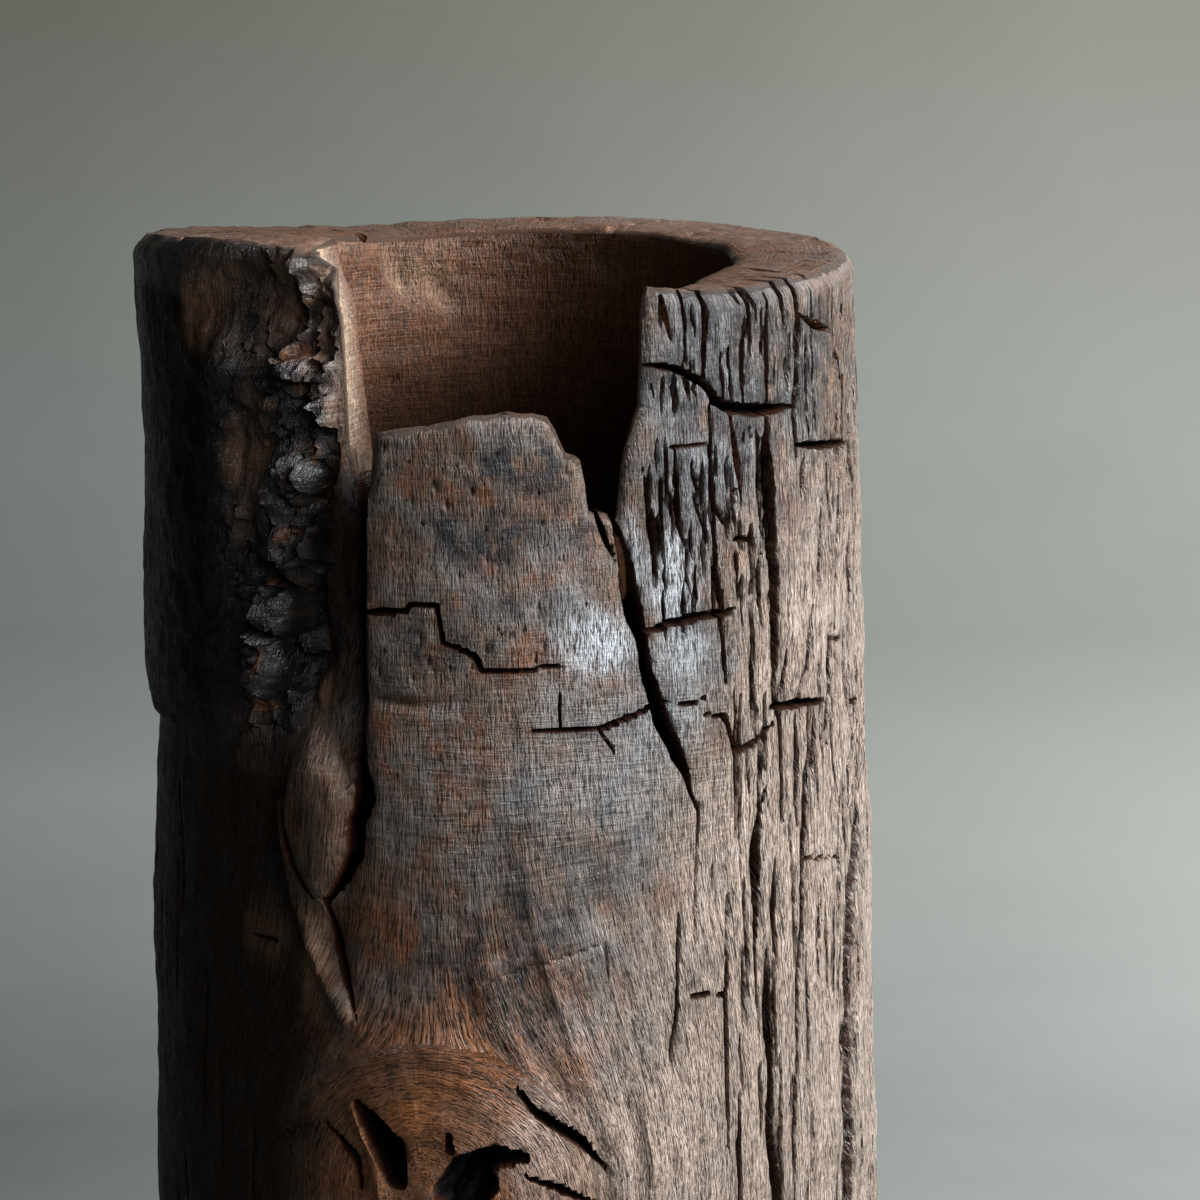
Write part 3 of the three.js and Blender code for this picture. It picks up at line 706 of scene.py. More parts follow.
BLEACHED = Spots(0.35, 0, (
    (14.7, 80, 6, 8.5, 1), (27, 65, 4, 11, 0.9), (28, 84, 5, 5, 0.45), (20.6, 62, 1.6, 12, 0.8),
    (12, 94, 9, 6, 0.12), (15, 116, 13, 9, 0.14), (25, 102, 6, 8, 0.25), (31, 45, 8, 14, 0.18),
    (33, 62, 4, 12, 0.35),
))
STAINED = Spots(0.3, 0, (
    (-2, 54, 9, 7, 1), (-13, 60, 4, 12, 0.25), (-9, 80, 6, 6, 0.55), (40, 14, 20, 28, 0.8),
    (29, 46, 9, 14, 0.65), (33, 88, 6, 9, 0.1), (5, 38, 10, 7, 0.9), (62, 18, 8, 16, 0.8),
    (54, 62, 4, 18, 0.35), (-10, 120, 9, 14, 0.3), (-2, 152, 14, 20, 0.8), (9, 132, 11, 22, 0.7),
    (24, 165, 10, 16, 0.25), (-16, 40, 3, 7, 0.2), (3, 70, 4, 4, 0.8), (-15, 86, 4, 8, 0.45),
    (12, 52, 3, 8, 0.8),
))
RUSTED = Spots(0.35, 0.42, (
    (-7, 44, 7, 5, 1), (5, 60, 6, 6, 1), (-6, 66, 5, 4, 1), (0, 82, 7, 5, 0.8), (-10, 112, 10, 17, 0.8),
    (-8, 165, 16, 22, 0.9), (33, 30, 3, 8, 0.8), (50, 50, 4, 20, 0.7), (40, 62, 3, 10, 0.7),
))
TANNED = Spots(0.3, 0, (
    (6, 203, 6.5, 18, 1), (-2, 192, 8, 6, 0.35),
))
GREYED = Spots(0.3, 0.1, (
    (15, 116, 14, 22, 0.36), (2, 108, 9, 8, 0.3), (40, 24, 22, 34, 0.6), (28, 88, 10, 16, 0.6),
    (10, 66, 9, 13, 0.6), (13, 166, 12, 22, 0.3),
))


@dataclass(frozen=True)
class Surface:
    """What the log's outer surface is like at each of a set of points."""

    relief: Array
    grain: Array
    masks: dict[str, Array]


@dataclass
class LogSurface:
    """Works out the relief of the log's outer surface and where its finishes lie.

    Pairs are the values of an angle or a drop between which something sets in or runs out.
    """

    form: LogForm = FORM
    peg_angles: tuple[float, ...] = tuple(turned(22.0 + 60.0 * i) for i in range(6))
    peg_height: float = 11.0
    peg_edge: Pair = (4.8, 4.2)
    peg_recess: float = 1.6
    # Lines of (angle, drop)
    char_crest: Line = (
        (-32.4, -8), (-31, 1), (-32, 9), (-30.9, 21), (-29.3, 33), (-30.7, 48),
        (-33.3, 59), (-33.7, 69), (-35.4, 82), (-37.8, 97), (-42.4, 113),
    )
    window_edge: Line = ((-32.3, -8), (-31.8, 0), (-31.9, 8), (-33.3, 13), (-36.1, 16))
    sliver: Line = ((-34.6, 122), (-33, 138), (-30, 152), (-26.6, 163), (-23.4, 171))
    knot_arch: Line = (
        (-34, 194), (-24.8, 183), (-20.6, 180.7), (-13, 177.4), (-8.3, 178.4), (-6.1, 182.5), (1, 194),
    )
    knot_lip: Line = ((-22.4, 193), (-19.6, 201), (-17.8, 212), (-17.4, 222))
    knot: Patch = Patch(-8, 212, 21, 45, 1, 0.45)
    lobe: Patch = Patch(-28.2, 124, 5.2, 19, 1, 0.35)
    # Painted shade in the groove between the burnt cheek and the break
    groove: Patch = Patch(-27.2, 68, 2.2, 36, 0.95, 0.3)
    crust: Patch = Patch(-37, 42, 11, 60, 1, 0.25)
    # The burnt area
    char_right: Pair = (-25.6, -27.6)
    char_below: Pair = (122, 96)
    char_back: Pair = (-150, -96)
    char_middle: float = -42.0
    char_edge: Waves = Waves(16, 31, octaves=3)
    # The lumps of char
    lumps_left: Pair = (-62, -50)
    lumps_right: Pair = (-25.6, -27.2)
    lumps_below: Pair = (118, 98)
    lumps_edge: Waves = Waves(22, 41)
    char_rough: Waves = Waves(5, 61, octaves=2)
    bend_across: Waves = Waves(6, 62, 1.6)
    bend_along: Waves = Waves(6, 63, 1.6)
    big_flakes: Flakes = Flakes(6, 8, 0.9, 64)
    small_flakes: Flakes = Flakes(2.4, 3.2, 0.5, 65)
    window_fibres: Mixed = (Waves((2, 26, 1), 66), Waves((0.9, 14, 1), 67, 0.6))
    window_slant: float = 0.55
    window_dip: float = 5.5
    window_falls: Pair = (-57, -34)
    # Weathered wood, rings round the knot and ripples below the tongue: middle and spread of these two
    weather_left: Pair = (14, 34)
    weather_right: Pair = (125, 95)
    rings: Pair = (48, 26)
    rings_left: Pair = (-16, 0)
    ripple_drops: Pair = (112, 26)
    ripple_left: Pair = (-24, -8)
    ripple_right: Pair = (44, 30)
    ripples: Waves = Waves((20, 20, 2.4), 49, 0.3)
    knot_edge: Waves = Waves(14, 51, 0.2, 2)
    knot_fibres: Waves = Waves((1.5, 1.5, 20), 58, 0.35)
    bark_edge: Waves = Waves(30, 52, 9)
    lobe_rough: Waves = Waves((5, 5, 9), 74, octaves=3)
    # Waves of the whole surface, fibres where it is weathered and fibres everywhere
    swells: Mixed = (Waves(46, 53, 0.7, 2), Waves((14, 14, 20), 59, 0.5, 2), Waves(5, 57, 0.26, 2))
    open_fibres: Mixed = (
        Waves((5, 5, 80), 54, 0.3), Waves((1.9, 1.9, 34), 55, 0.24), Waves((8, 8, 60), 60, 0.5),
    )
    fine_fibres: Waves = Waves((1.2, 1.2, 12), 56, 0.05)
    # Lips of checks, and the fibres that stand out of breaks
    check_waver: Mixed = (Waves(2.4, 71), Waves(6.5, 72, 0.6))
    break_comb: Mixed = (Waves((1, 1, 7), 75), Waves((3, 3, 5), 76, 0.7))
    # Soot and painted shade on the left, and glossy char in front of it
    grime: Waves = Waves(9, 73, octaves=3)
    soot_right: Pair = (-15, -34)
    soot_back: Pair = (-178, -105)
    soot_top: Pair = (0.5, 4)
    gloss_left: Pair = (-54, -44)
    # Tanned wood at the right, which reaches further left below a drop
    clouds: Waves = Waves(13, 81, octaves=3)
    tan_left: Pair = (31, 57)
    tan_right: Pair = (150, 110)
    tan_drops: Pair = (22, 84)
    tan_spreads_from: float = 80.0
    # Rounding of the edges: reach and depth
    break_round: Pair = (2.6, 1.5)
    rim_round: Pair = (3.4, 1.9)

    def char_mask(self, angle: Array, drop: Array, place: Array) -> Array:
        """Where the left of the log is burnt: all its upper left, thinning out below and towards the back."""
        waver = self.char_edge.at(place)
        right = ease(*self.char_right, angle + 0.8 * waver)
        below = ease(*self.char_below, drop + 10 * waver + 0.3 * np.abs(angle - self.char_middle))
        return right * below * ease(*self.char_back, angle + 14 * waver)

    def lumps(self, angle: Array, drop: Array, place: Array) -> Array:
        """How strongly the burnt wood is broken into lumps."""
        waver = self.lumps_edge.at(place)
        span = ease(*self.lumps_left, angle + 5 * waver) * ease(*self.lumps_right, angle)
        return span * ease(*self.lumps_below, drop + 6 * waver)

    def rippled(self, angle: Array, drop: Array) -> Array:
        """Where fine ripples run across the grain."""
        level = bell(drop, *self.ripple_drops)
        return level * ease(*self.ripple_right, angle) * ease(*self.ripple_left, angle)

    def evaluate(self, angle: Array, z: Array) -> Surface:
        """Works out everything at a set of points of the outer surface.

        Args:
            angle, z: the points on the wall.

        Returns:
            Relief in mm outwards from the plain log, grain positions and masks.
        """
        form = self.form
        drop = form.rim_height - z
        place = around(angle, form.plain_radius(z), z)
        grain = form.grain(angle, z)
        span = np.hypot(*form.knot_offset(angle, z))
        knot = self.knot.share(angle, drop, self.knot_edge.at(place))
        weather = ease(*self.weather_left, angle) * ease(*self.weather_right, angle)
        ringed = bell(span, *self.rings) * ease(*self.rings_left, angle)
        tones = self.tones(angle, drop, place)

        relief = self.main_relief(angle, drop, place, span)
        relief += self.grain_relief(grain, place, np.maximum(weather, 2.4 * ringed) + 0.2)
        relief += self.ripples.at(place, self.rippled(angle, drop)) + self.knot_fibres.at(grain, knot)
        burnt, embers = self.burnt_relief(angle, drop, place)
        relief += burnt + self.worn_edges(angle, drop)
        depth, ramp, dirt, raw = self.checked(angle, drop, place)
        relief -= np.maximum(depth, ramp) + self.peg_recesses(angle, z)

        grime = self.grime.at(place)
        # Soot and painted shade on the left, less on the glossy char and by the knot, and painted shade in
        # the groove beside the break
        sooty = ease(*self.soot_right, angle + 5 * grime) * ease(*self.soot_back, angle)
        sooty *= ease(*self.soot_top, drop - 0.4 * ramp)
        glossy = self.lumps(angle, drop, place) * ease(*self.gloss_left, angle + 3 * grime)
        groove = self.groove.share(angle, drop, 0.1 * grime)
        masks = {
            "char": self.char_mask(angle, drop, place) * ease(2, 0.5, ramp),
            # Scorched brown wood, its pale tone also painted light
            "scorch": SCORCHED_AND_LIT.share(angle, drop, grime),
            # Painted shade: the checks darken with depth, and the ramp in the tongue's shadow turns nearly
            # black
            "depth": np.maximum(np.clip((depth - 0.7) / 6, 0, 1), 0.95 * ease(4, 14, ramp)),
            "raw": np.maximum(raw, embers),
            "knot": knot * (1 - 0.6 * tones["tan"]),
            "soot": np.maximum(sooty * (1 - 0.8 * glossy) * (1 - 0.6 * knot), groove),
            "dirt": dirt,
            "weather": np.clip(np.maximum(weather, ringed), 0, 1),
            **tones,
        }
        return Surface(relief, grain, masks)

    def main_relief(self, angle: Array, drop: Array, place: Array, span: Array) -> Array:
        """The large forms: lobes, charred skin, knot, the lobe and the sliver beside the left split.

        Args:
            angle, drop, place: the points on the wall, and their positions on the plain log.
            span: mm from the knot's middle.

        Returns:
            Millimetres outwards from the plain log.
        """
        form = self.form
        skin = bell(turned(angle - form.bark_angle), 0, form.bark_spread)
        step_at = form.bark_step_drop + self.bark_edge.at(place)
        relief = form.lobe_height * np.cos(form.lobes * np.radians(angle))
        relief += skin * (form.bark_thickness * ease(step_at + 3, step_at - 3, drop))
        relief -= skin * follow(drop, form.left_shrink)
        relief -= follow(angle, form.cheek_burn) * follow(drop, form.cheek_burn_share)
        relief += form.knot_bulge * bell(span, 0, form.knot_spread)
        relief += self.ridge(angle, drop, self.knot_arch, 4, 0.8)
        relief += self.ridge(angle, drop, self.knot_lip, 1.6, 1.6)
        rough = self.lobe_rough.at(place)
        lobe = self.lobe.share(angle, drop, 0.05 * rough)
        sliver = self.ridge(angle, drop, self.sliver, 2.4, 1)
        return relief + lobe * (4.2 + 0.5 * rough) + sliver * (2.8 + 0.9 * rough)

    def grain_relief(self, grain: Array, place: Array, weather: Array) -> Array:
        """Fibres, dents and shallow waves of the weathered surface."""
        fibres = self.fine_fibres.at(grain) + mixed(self.open_fibres, grain, weather)
        return mixed(self.swells, place) + fibres

    def burnt_relief(self, angle: Array, drop: Array, place: Array) -> tuple[Array, Array]:
        """The burnt cheek: a flaking crest beside the break, a fibrous window, a scoop and plates.

        Args:
            angle, drop, place: the points on the wall, and their positions on the plain log.

        Returns:
            Height of the forms, and where brown wood shows at the edges of the flakes.
        """
        across = angle * PER_DEGREE
        rough = self.char_rough.at(place)
        window, scoop = (
            form.share(angle, drop, 0.2 * rough) / form.strength
            for form in (BURNT_FORMS["window"], BURNT_FORMS["scoop"])
        )
        crust = self.crust.share(angle, drop, 0.15 * rough) * (1 - 0.75 * window) * (1 - 0.8 * scoop)
        crest = self.ridge(angle, drop, self.char_crest, 7, 1) * (1 - 0.8 * scoop)
        bent = across + self.bend_across.at(place), drop + self.bend_along.at(place)
        big, big_edge = self.big_flakes.at(*bent)
        small, small_edge = self.small_flakes.at(*bent)
        slanted = np.stack([across + self.window_slant * drop, drop, np.zeros(drop.shape)], axis=1)
        fibres = mixed(self.window_fibres, slanted)
        relief = sum(form.share(angle, drop, 0.22 * rough) for form in BURNT_FORMS.values())
        relief += self.ridge(angle, drop, self.window_edge, 1.7, 2.6)
        relief += (0.2 + 1.3 * crust + 0.9 * crest) * big - 1.2 * crest * ease(0.14, 0, big_edge)
        relief += (0.15 + 0.5 * crust + 0.4 * crest) * small + 0.35 * rough
        relief += window * (1.1 * fibres - self.window_dip * ease(*self.window_falls, angle))
        edges = crest * ease(0.16, 0.05, np.minimum(big_edge, small_edge)) * ease(0.1, 0.6, rough)
        embers = np.clip(np.maximum(0.4 * edges, EMBERS.share(angle, drop, rough)), 0, 1)
        return self.lumps(angle, drop, place) * relief, embers * ease(-25, -27, angle)

    def worn_edges(self, angle: Array, drop: Array) -> Array:
        """How far the edges of the break and of the rim are rounded off.

        Args:
            angle, drop: the points on the wall.

        Returns:
            Millimetres, below zero.
        """
        form = self.form
        edge, _ = form.break_edge(angle, drop)
        to_break = np.clip(1 - edge / self.break_round[0], 0, 1)
        to_rim = np.clip(1 - (drop - form.top_drop(angle)) / self.rim_round[0], 0, 1)
        whole = np.where(form.in_break(angle), 0, self.rim_round[1] * to_rim**2)
        return -self.break_round[1] * to_break**2 - whole

    def checked(self, angle: Array, drop: Array, place: Array) -> tuple[Array, Array, Array, Array]:
        """Cuts all the checks and breaks.

        Args:
            angle, drop, place: the points on the wall, and their positions on the plain log.

        Returns:
            Depth of the clefts and pits, depth of the ramp, dirt and raw wood.
        """
        waver, comb = mixed(self.check_waver, place), mixed(self.break_comb, place)
        depth, ramp, dirt, raw = (np.zeros(angle.shape) for _ in range(4))
        for check in CHECKS:
            broken = check.bottom is Bottom.BREAK
            near, deep, dirty = check.cut(angle * PER_DEGREE, drop, comb if broken else waver)
            kind = ramp if check.bottom is Bottom.RAMP else depth
            kind[near] = np.maximum(kind[near], deep * (1 + 0.25 * comb[near]) if broken else deep)
            dirt[near] = np.maximum(dirt[near], dirty)
            fibres = ease(0.1, 0.6, comb[near]) if broken else 1.0
            raw[near] = np.maximum(raw[near], check.raw * ease(0.8, 2, deep) * fibres)
        return depth, ramp, dirt, raw

    def ridge(self, angle: Array, drop: Array, line: Line, width: float, height: float) -> Array:
        """A raised rib along a line.

        Args:
            angle, drop: the points on the wall.
            line: its stops, as (angle, drop).
            width: mm to its side over which it falls.
            height: of its crest.

        Returns:
            Its height at each point.
        """
        best = np.full(angle.shape, FAR)
        for start, end in zip(line, line[1:]):
            _, right, down = beside(angle * PER_DEGREE, drop, start, end)
            best = np.minimum(best, np.hypot(right, down))
        return height * bell(best, 0, width)

    def peg_recesses(self, angle: Array, z: Array) -> Array:
        """Depth of the round holes that the pegs' ends lie in.

        Args:
            angle, z: the points on the wall.

        Returns:
            Millimetres inwards.
        """
        depth = np.zeros(angle.shape)
        scale = math.radians(self.form.plain_radius(self.peg_height))
        for peg in self.peg_angles:
            gap = np.hypot(turned(angle - peg) * scale, z - self.peg_height)
            depth = np.maximum(depth, self.peg_recess * ease(*self.peg_edge, gap))
        return depth

    def tones(self, angle: Array, drop: Array, place: Array) -> dict[str, Array]:
        """Where the wood is bleached, stained dark, greyed, tanned, rusty and rippled.

        Args:
            angle, drop, place: the points on the wall, and their positions on the plain log.

        Returns:
            Masks by the finishes' names.
        """
        cloud = self.clouds.at(place)
        below = np.maximum(drop - self.tan_spreads_from, 0)
        tan = ease(*self.tan_left, angle + 0.3 * below + 5 * cloud) * ease(*self.tan_right, angle)
        tan *= (0.15 + 0.85 * ease(*self.tan_drops, drop)) * (0.85 + 0.25 * cloud)
        found = {
            "bleach": BLEACHED.share(angle, drop, cloud),
            "stain": STAINED.share(angle, drop, cloud),
            "grey": GREYED.share(angle, drop, cloud) + 0.1 * cloud,
            "tan": np.maximum(tan, TANNED.share(angle, drop, cloud)),
            "rust": RUSTED.share(angle, drop, cloud),
            "ripple": 0.25 + 0.75 * self.rippled(angle, drop),
        }
        return {name: np.clip(mask, 0, 1) for name, mask in found.items()}


class Kind(str, Enum):
    """The kinds of node that the finishes are made of."""

    ATTRIBUTE = "ShaderNodeAttribute"
    BUMP = "ShaderNodeBump"
    COORDINATES = "ShaderNodeTexCoord"
    MATH = "ShaderNodeMath"
    MIX = "ShaderNodeMix"
    NOISE = "ShaderNodeTexNoise"
    OUTPUT = "ShaderNodeOutputMaterial"
    PARTS = "ShaderNodeSeparateColor"
    SPAN = "ShaderNodeMapRange"
    SURFACE = "ShaderNodeBsdfPrincipled"
    VECTOR = "ShaderNodeVectorMath"


def add_node(tree: NodeTree, kind: str, inputs: dict | None = None, **settings: object) -> Node:
    """Adds a node with its settings, its values and its links.

    Args:
        tree: the tree it goes in.
        kind: the node's type.
        inputs: socket name or number to a value, a hex colour, or the node or socket that it is linked from.
        settings: attributes of the node.

    Returns:
        The node.
    """
    node = tree.nodes.new(kind)
    for key, value in settings.items():
        setattr(node, key, value)
    for key, value in (inputs or {}).items():
        if isinstance(value, Node):
            value = next(socket for socket in value.outputs if socket.enabled and not socket.is_unavailable)
        if isinstance(value, NodeSocket):
            tree.links.new(value, node.inputs[key])
        else:
            hexed = isinstance(value, str) and value.startswith("#")
            node.inputs[key].default_value = to_linear(value) if hexed else value
    return node


@dataclass(frozen=True)
class Pattern:
    """Noise whose waves have a size in mm along each axis, and the span of it that fills 0 to 1."""

    size: Triple
    detail: float = 3.0
    roughness: float = 0.55
    span: Pair = (0.3, 0.7)

    def draw(self, tree: NodeTree, vector: NodeSocket, unit: float = 1.0) -> Node:
        """Adds the pattern to a tree.

        Args:
            tree: the finish's tree.
            vector: where the pattern lies.
            unit: mm to one unit of the vector.

        Returns:
            The node that gives the pattern.
        """
        scale = tuple(unit / x for x in self.size)
        scaled = add_node(tree, Kind.VECTOR, {0: vector, 1: scale}, operation="MULTIPLY")
        values = {"Vector": scaled, "Scale": 1, "Detail": self.detail, "Roughness": self.roughness}
        noise = add_node(tree, Kind.NOISE, values)
        return add_node(tree, Kind.SPAN, {0: noise, 1: self.span[0], 2: self.span[1]})


class Finish:
    """A material that is made of one node tree."""

    name: str

    def build(self) -> Material:
        """Builds the material: the finish's own nodes, ending in one surface."""
        material = bpy.data.materials.new(self.name)
        material.use_nodes = True
        tree = material.node_tree
        tree.nodes.clear()
        shader = add_node(tree, Kind.SURFACE, self.surface(tree))
        add_node(tree, Kind.OUTPUT, {"Surface": shader})
        return material

    def surface(self, tree: NodeTree) -> dict[str, object]:
        """Adds the finish's nodes.

        Args:
            tree: the material's tree.

        Returns:
            What feeds the surface's sockets, by their names.
        """
        raise NotImplementedError


@dataclass(frozen=True)
class Tone:
    """The two colours between which the fibres of one kind of wood vary."""

    dark: str
    light: str


# Masks that each colour attribute of the log's mesh carries, in its four channels
PACKED = {
    "wear": ("char", "bleach", "grey", "fresh"),
    "place": ("depth", "knot", "hollow", "stain"),
    "tint": ("tan", "rust", "ripple", "raw"),
    "shade": ("soot", "dirt", "weather", "scorch"),
}


@dataclass(frozen=True)
class WeatheredLogWood(Finish):
    """Old hardwood, weathered grey-brown, burnt black on one side and rubbed with wax.

    The eye sees short upright pore dashes that glint, a mosaic of grey, rust and blue-black, bleached spots,
    orange-brown fibres in the knot, pale broken faces, black flaking char and nearly black checks.
    Painted shade darkens the checks, the sooty left and the hollow, and painted light brightens the scorched
    brown wood of the cheek.
    The pores are 0.2 mm wide and drawn a little coarser, so that the render shows them.
    """

    name: str = "weathered charred hardwood, waxed"
    dash: Pattern = Pattern((0.36, 0.36, 2.6), 2, 0.6, (0.40, 0.62))
    fibre: Pattern = Pattern((0.9, 0.9, 12), 3, 0.55, (0.32, 0.68))
    streak: Pattern = Pattern((6, 6, 60), 3, 0.55, (0.3, 0.7))
    mosaic: Pattern = Pattern((7, 7, 8), 4, 0.62, (0.43, 0.57))
    smoke: Pattern = Pattern((5.5, 5.5, 7.5), 4, 0.62, (0.40, 0.56))
    cloud: Pattern = Pattern((13, 13, 17), 4, 0.6, (0.38, 0.62))
    speckle: Pattern = Pattern((1.3, 1.3, 1.9), 3, 0.65, (0.34, 0.66))
    ripple: Pattern = Pattern((9, 9, 0.8), 3, 0.6, (0.38, 0.64))
    hairs: Pattern = Pattern((1.5, 1.5, 46), 2, 0.5, (0, 1))
    plain: Tone = Tone("#2a1d15", "#9a8373")
    rust: Tone = Tone("#33160a", "#ab6636")
    # Weathered grey wood, tinted a little blue as a painted sheen
    grey: Tone = Tone("#36383b", "#adaeb1")
    tan: Tone = Tone("#7c6252", "#f6e4d5")
    knot: Tone = Tone("#1a0803", "#d2854c")
    hollow: Tone = Tone("#2e170d", "#9a6a4b")
    fresh: Tone = Tone("#75563f", "#f0d2b4")
    burnt: Tone = Tone("#090605", "#3b393c")
    # Scorched brown wood, its pale end also painted light on faces that the lamps barely reach
    scorched: Tone = Tone("#3d2415", "#d6a888")
    blue_black: str = "#20232b"
    bleached: str = "#d2dae3"
    waxed_ripple: str = "#b5ada4"
    pore: str = "#150e0a"
    dust: str = "#1d1410"
    # Soot, and painted shade on the left and in the hollow
    sooty: str = "#150c06"
    flank: str = "#3a1e11"
    # Near black: painted shade in the checks and on the ramp, and the drawn hairline checks
    deep: str = "#0a0504"
    raw: str = "#9a6239"
    # How much each pattern lightens the fibres, and their tone without them
    tone_parts: Parts = (("dash", 0.42), ("fibre", 0.28), ("ripple", 0.1), ("streak", 0.28))
    tone_start: float = -0.08
    # How high each pattern stands in the relief, in depths of the bump
    bump_parts: Parts = (("fibre", 0.7), ("speckle", 0.25), ("lines", 0.9), ("hairline", -1.6))
    bump_mm: float = 0.28
    gloss: Pair = (0.30, 0.56)
    char_gloss: float = -0.1
    shine: Pair = (0.5, 0.06)

    def surface(self, tree: NodeTree) -> dict[str, object]:
        """Adds the nodes and returns what feeds each socket of the surface."""
        add = partial(add_node, tree)
        grain = add(Kind.ATTRIBUTE, attribute_name="grain").outputs["Vector"]
        masks: dict[str, NodeSocket] = {}
        for name, channels in PACKED.items():
            packed = add(Kind.ATTRIBUTE, attribute_name=name)
            parts = add(Kind.PARTS, {0: packed.outputs["Color"]})
            masks.update(zip(channels, (*parts.outputs, packed.outputs["Alpha"])))
        names = ("dash", "fibre", "streak", "mosaic", "smoke", "cloud", "speckle", "ripple", "hairs")
        drawn = {name: getattr(self, name).draw(tree, grain) for name in names}
        colour = self.add_colour(add, masks, drawn)

        rough = add(Kind.SPAN, {0: drawn["speckle"], 3: self.gloss[0], 4: self.gloss[1]})
        rough = add(Kind.MATH, {0: masks["char"], 1: self.char_gloss, 2: rough}, operation="MULTIPLY_ADD")
        lined = add(Kind.MATH, {0: masks["ripple"], 1: masks["fresh"]}, operation="MAXIMUM")
        drawn["lines"] = add(Kind.MATH, {0: drawn["ripple"], 1: lined}, operation="MULTIPLY")
        height = drawn["dash"]
        for name, high in self.bump_parts:
            height = add(Kind.MATH, {0: drawn[name], 1: high, 2: height}, operation="MULTIPLY_ADD")
        bump = add(Kind.BUMP, {"Strength": 1, "Distance": self.bump_mm * MM, "Height": height})
        shine = add(Kind.SPAN, {0: masks["soot"], 3: self.shine[0], 4: self.shine[1]})
        return {"Base Color": colour, "Roughness": rough, "Specular IOR Level": shine, "Normal": bump}

    def add_colour(self, add: Callable, masks: dict, drawn: dict) -> Node:
        """Lays the kinds of wood over each other, then stains, char, soot with painted shade, scorched wood
        with painted light and checks with painted shade.

        Args:
            add: adds a node to the tree.
            masks: where each kind of wood lies.
            drawn: the patterns by name; the softened dashes and the hairline checks are put into it.

        Returns:
            The node that gives the colour.
        """
        pores = add(Kind.SPAN, {0: drawn["dash"], 1: 0.22, 2: 0})
        mottle = add(Kind.MATH, {0: drawn["dash"], 1: 0.9, 2: drawn["fibre"]}, operation="MULTIPLY_ADD")
        mottle = add(Kind.SPAN, {0: mottle, 1: 0.35, 2: 1.25})
        open_grain = add(Kind.SPAN, {0: masks["weather"], 3: 0.55, 4: 1})
        drawn["dash"] = add(Kind.MIX, {0: open_grain, 2: 0.5, 3: drawn["dash"]})
        tone: Node | float = self.tone_start
        for name, part in self.tone_parts:
            added = {0: drawn[name], 1: part, 2: tone}
            tone = add(Kind.MATH, added, operation="MULTIPLY_ADD", use_clamp=name == self.tone_parts[-1][0])
        off_line = add(Kind.MATH, {0: drawn["hairs"], 1: 0.5}, operation="SUBTRACT")
        off_line = add(Kind.MATH, {0: off_line}, operation="ABSOLUTE")
        hairline = add(Kind.SPAN, {0: off_line, 1: 0.016, 2: 0.004})
        drawn["hairline"] = add(Kind.MATH, {0: hairline, 1: masks["weather"]}, operation="MULTIPLY")
        greying = add(Kind.MATH, {0: drawn["cloud"], 1: 0.9, 2: -0.45}, operation="MULTIPLY_ADD")
        greying = add(Kind.MATH, {0: greying, 1: masks["grey"]}, operation="ADD", use_clamp=True)
        charring = add(Kind.MATH, {0: drawn["cloud"], 1: 0.7, 2: masks["char"]}, operation="MULTIPLY_ADD")
        charring = add(Kind.SPAN, {0: charring, 1: 0.35, 2: 0.8})
        flanks = add(Kind.SPAN, {0: masks["depth"], 1: 0.02, 2: 0.12})
        # Painted shade at the bottoms of the checks and on the ramp
        bottom_shade = add(Kind.SPAN, {0: masks["depth"], 1: 0.2, 2: 0.7})
        # Each layer: where it lies, the pattern that breaks it up, how much of it shows, its colours
        layers = (
            (masks["rust"], drawn["mosaic"], 0.9, self.rust),
            (greying, 1, 0.95, self.grey),
            (masks["tan"], 1, 0.9, self.tan),
            (masks["knot"], 1, 1, self.knot),
            (masks["stain"], drawn["smoke"], 0.95, self.blue_black),
            (masks["ripple"], drawn["ripple"], 0.26, self.waxed_ripple),
            (masks["bleach"], mottle, 1, self.bleached),
            (masks["hollow"], 1, 1, self.hollow),
            (masks["fresh"], 1, 1, self.fresh),
            (pores, 1, 0.7, self.pore),
            (masks["dirt"], drawn["fibre"], 0.7, self.dust),
            (masks["char"], charring, 1, self.burnt),
            # Soot, and painted shade on the left and in the hollow
            (masks["soot"], 1, 0.86, self.sooty),
            # Scorched wood, its pale tone also painted light
            (masks["scorch"], drawn["streak"], 0.95, self.scorched),
            (flanks, 1, 0.95, self.flank),
            (masks["raw"], mottle, 1, self.raw),
            # Painted shade at the bottoms of the checks and on the ramp
            (bottom_shade, 1, 1, self.deep),
            (drawn["hairline"], 1, 0.85, self.deep),
        )
        colour = add(Kind.MIX, {0: tone, 6: self.plain.dark, 7: self.plain.light}, data_type="RGBA")
        for mask, broken, strength, wood in layers:
            share = add(Kind.MATH, {0: mask, 1: broken}, operation="MULTIPLY", use_clamp=True)
            share = add(Kind.MATH, {0: share, 1: strength}, operation="MULTIPLY")
            over: object = wood
            if isinstance(wood, Tone):
                over = add(Kind.MIX, {0: tone, 6: wood.dark, 7: wood.light}, data_type="RGBA")
            colour = add(Kind.MIX, {0: share, 6: colour, 7: over}, data_type="RGBA")
        return colour


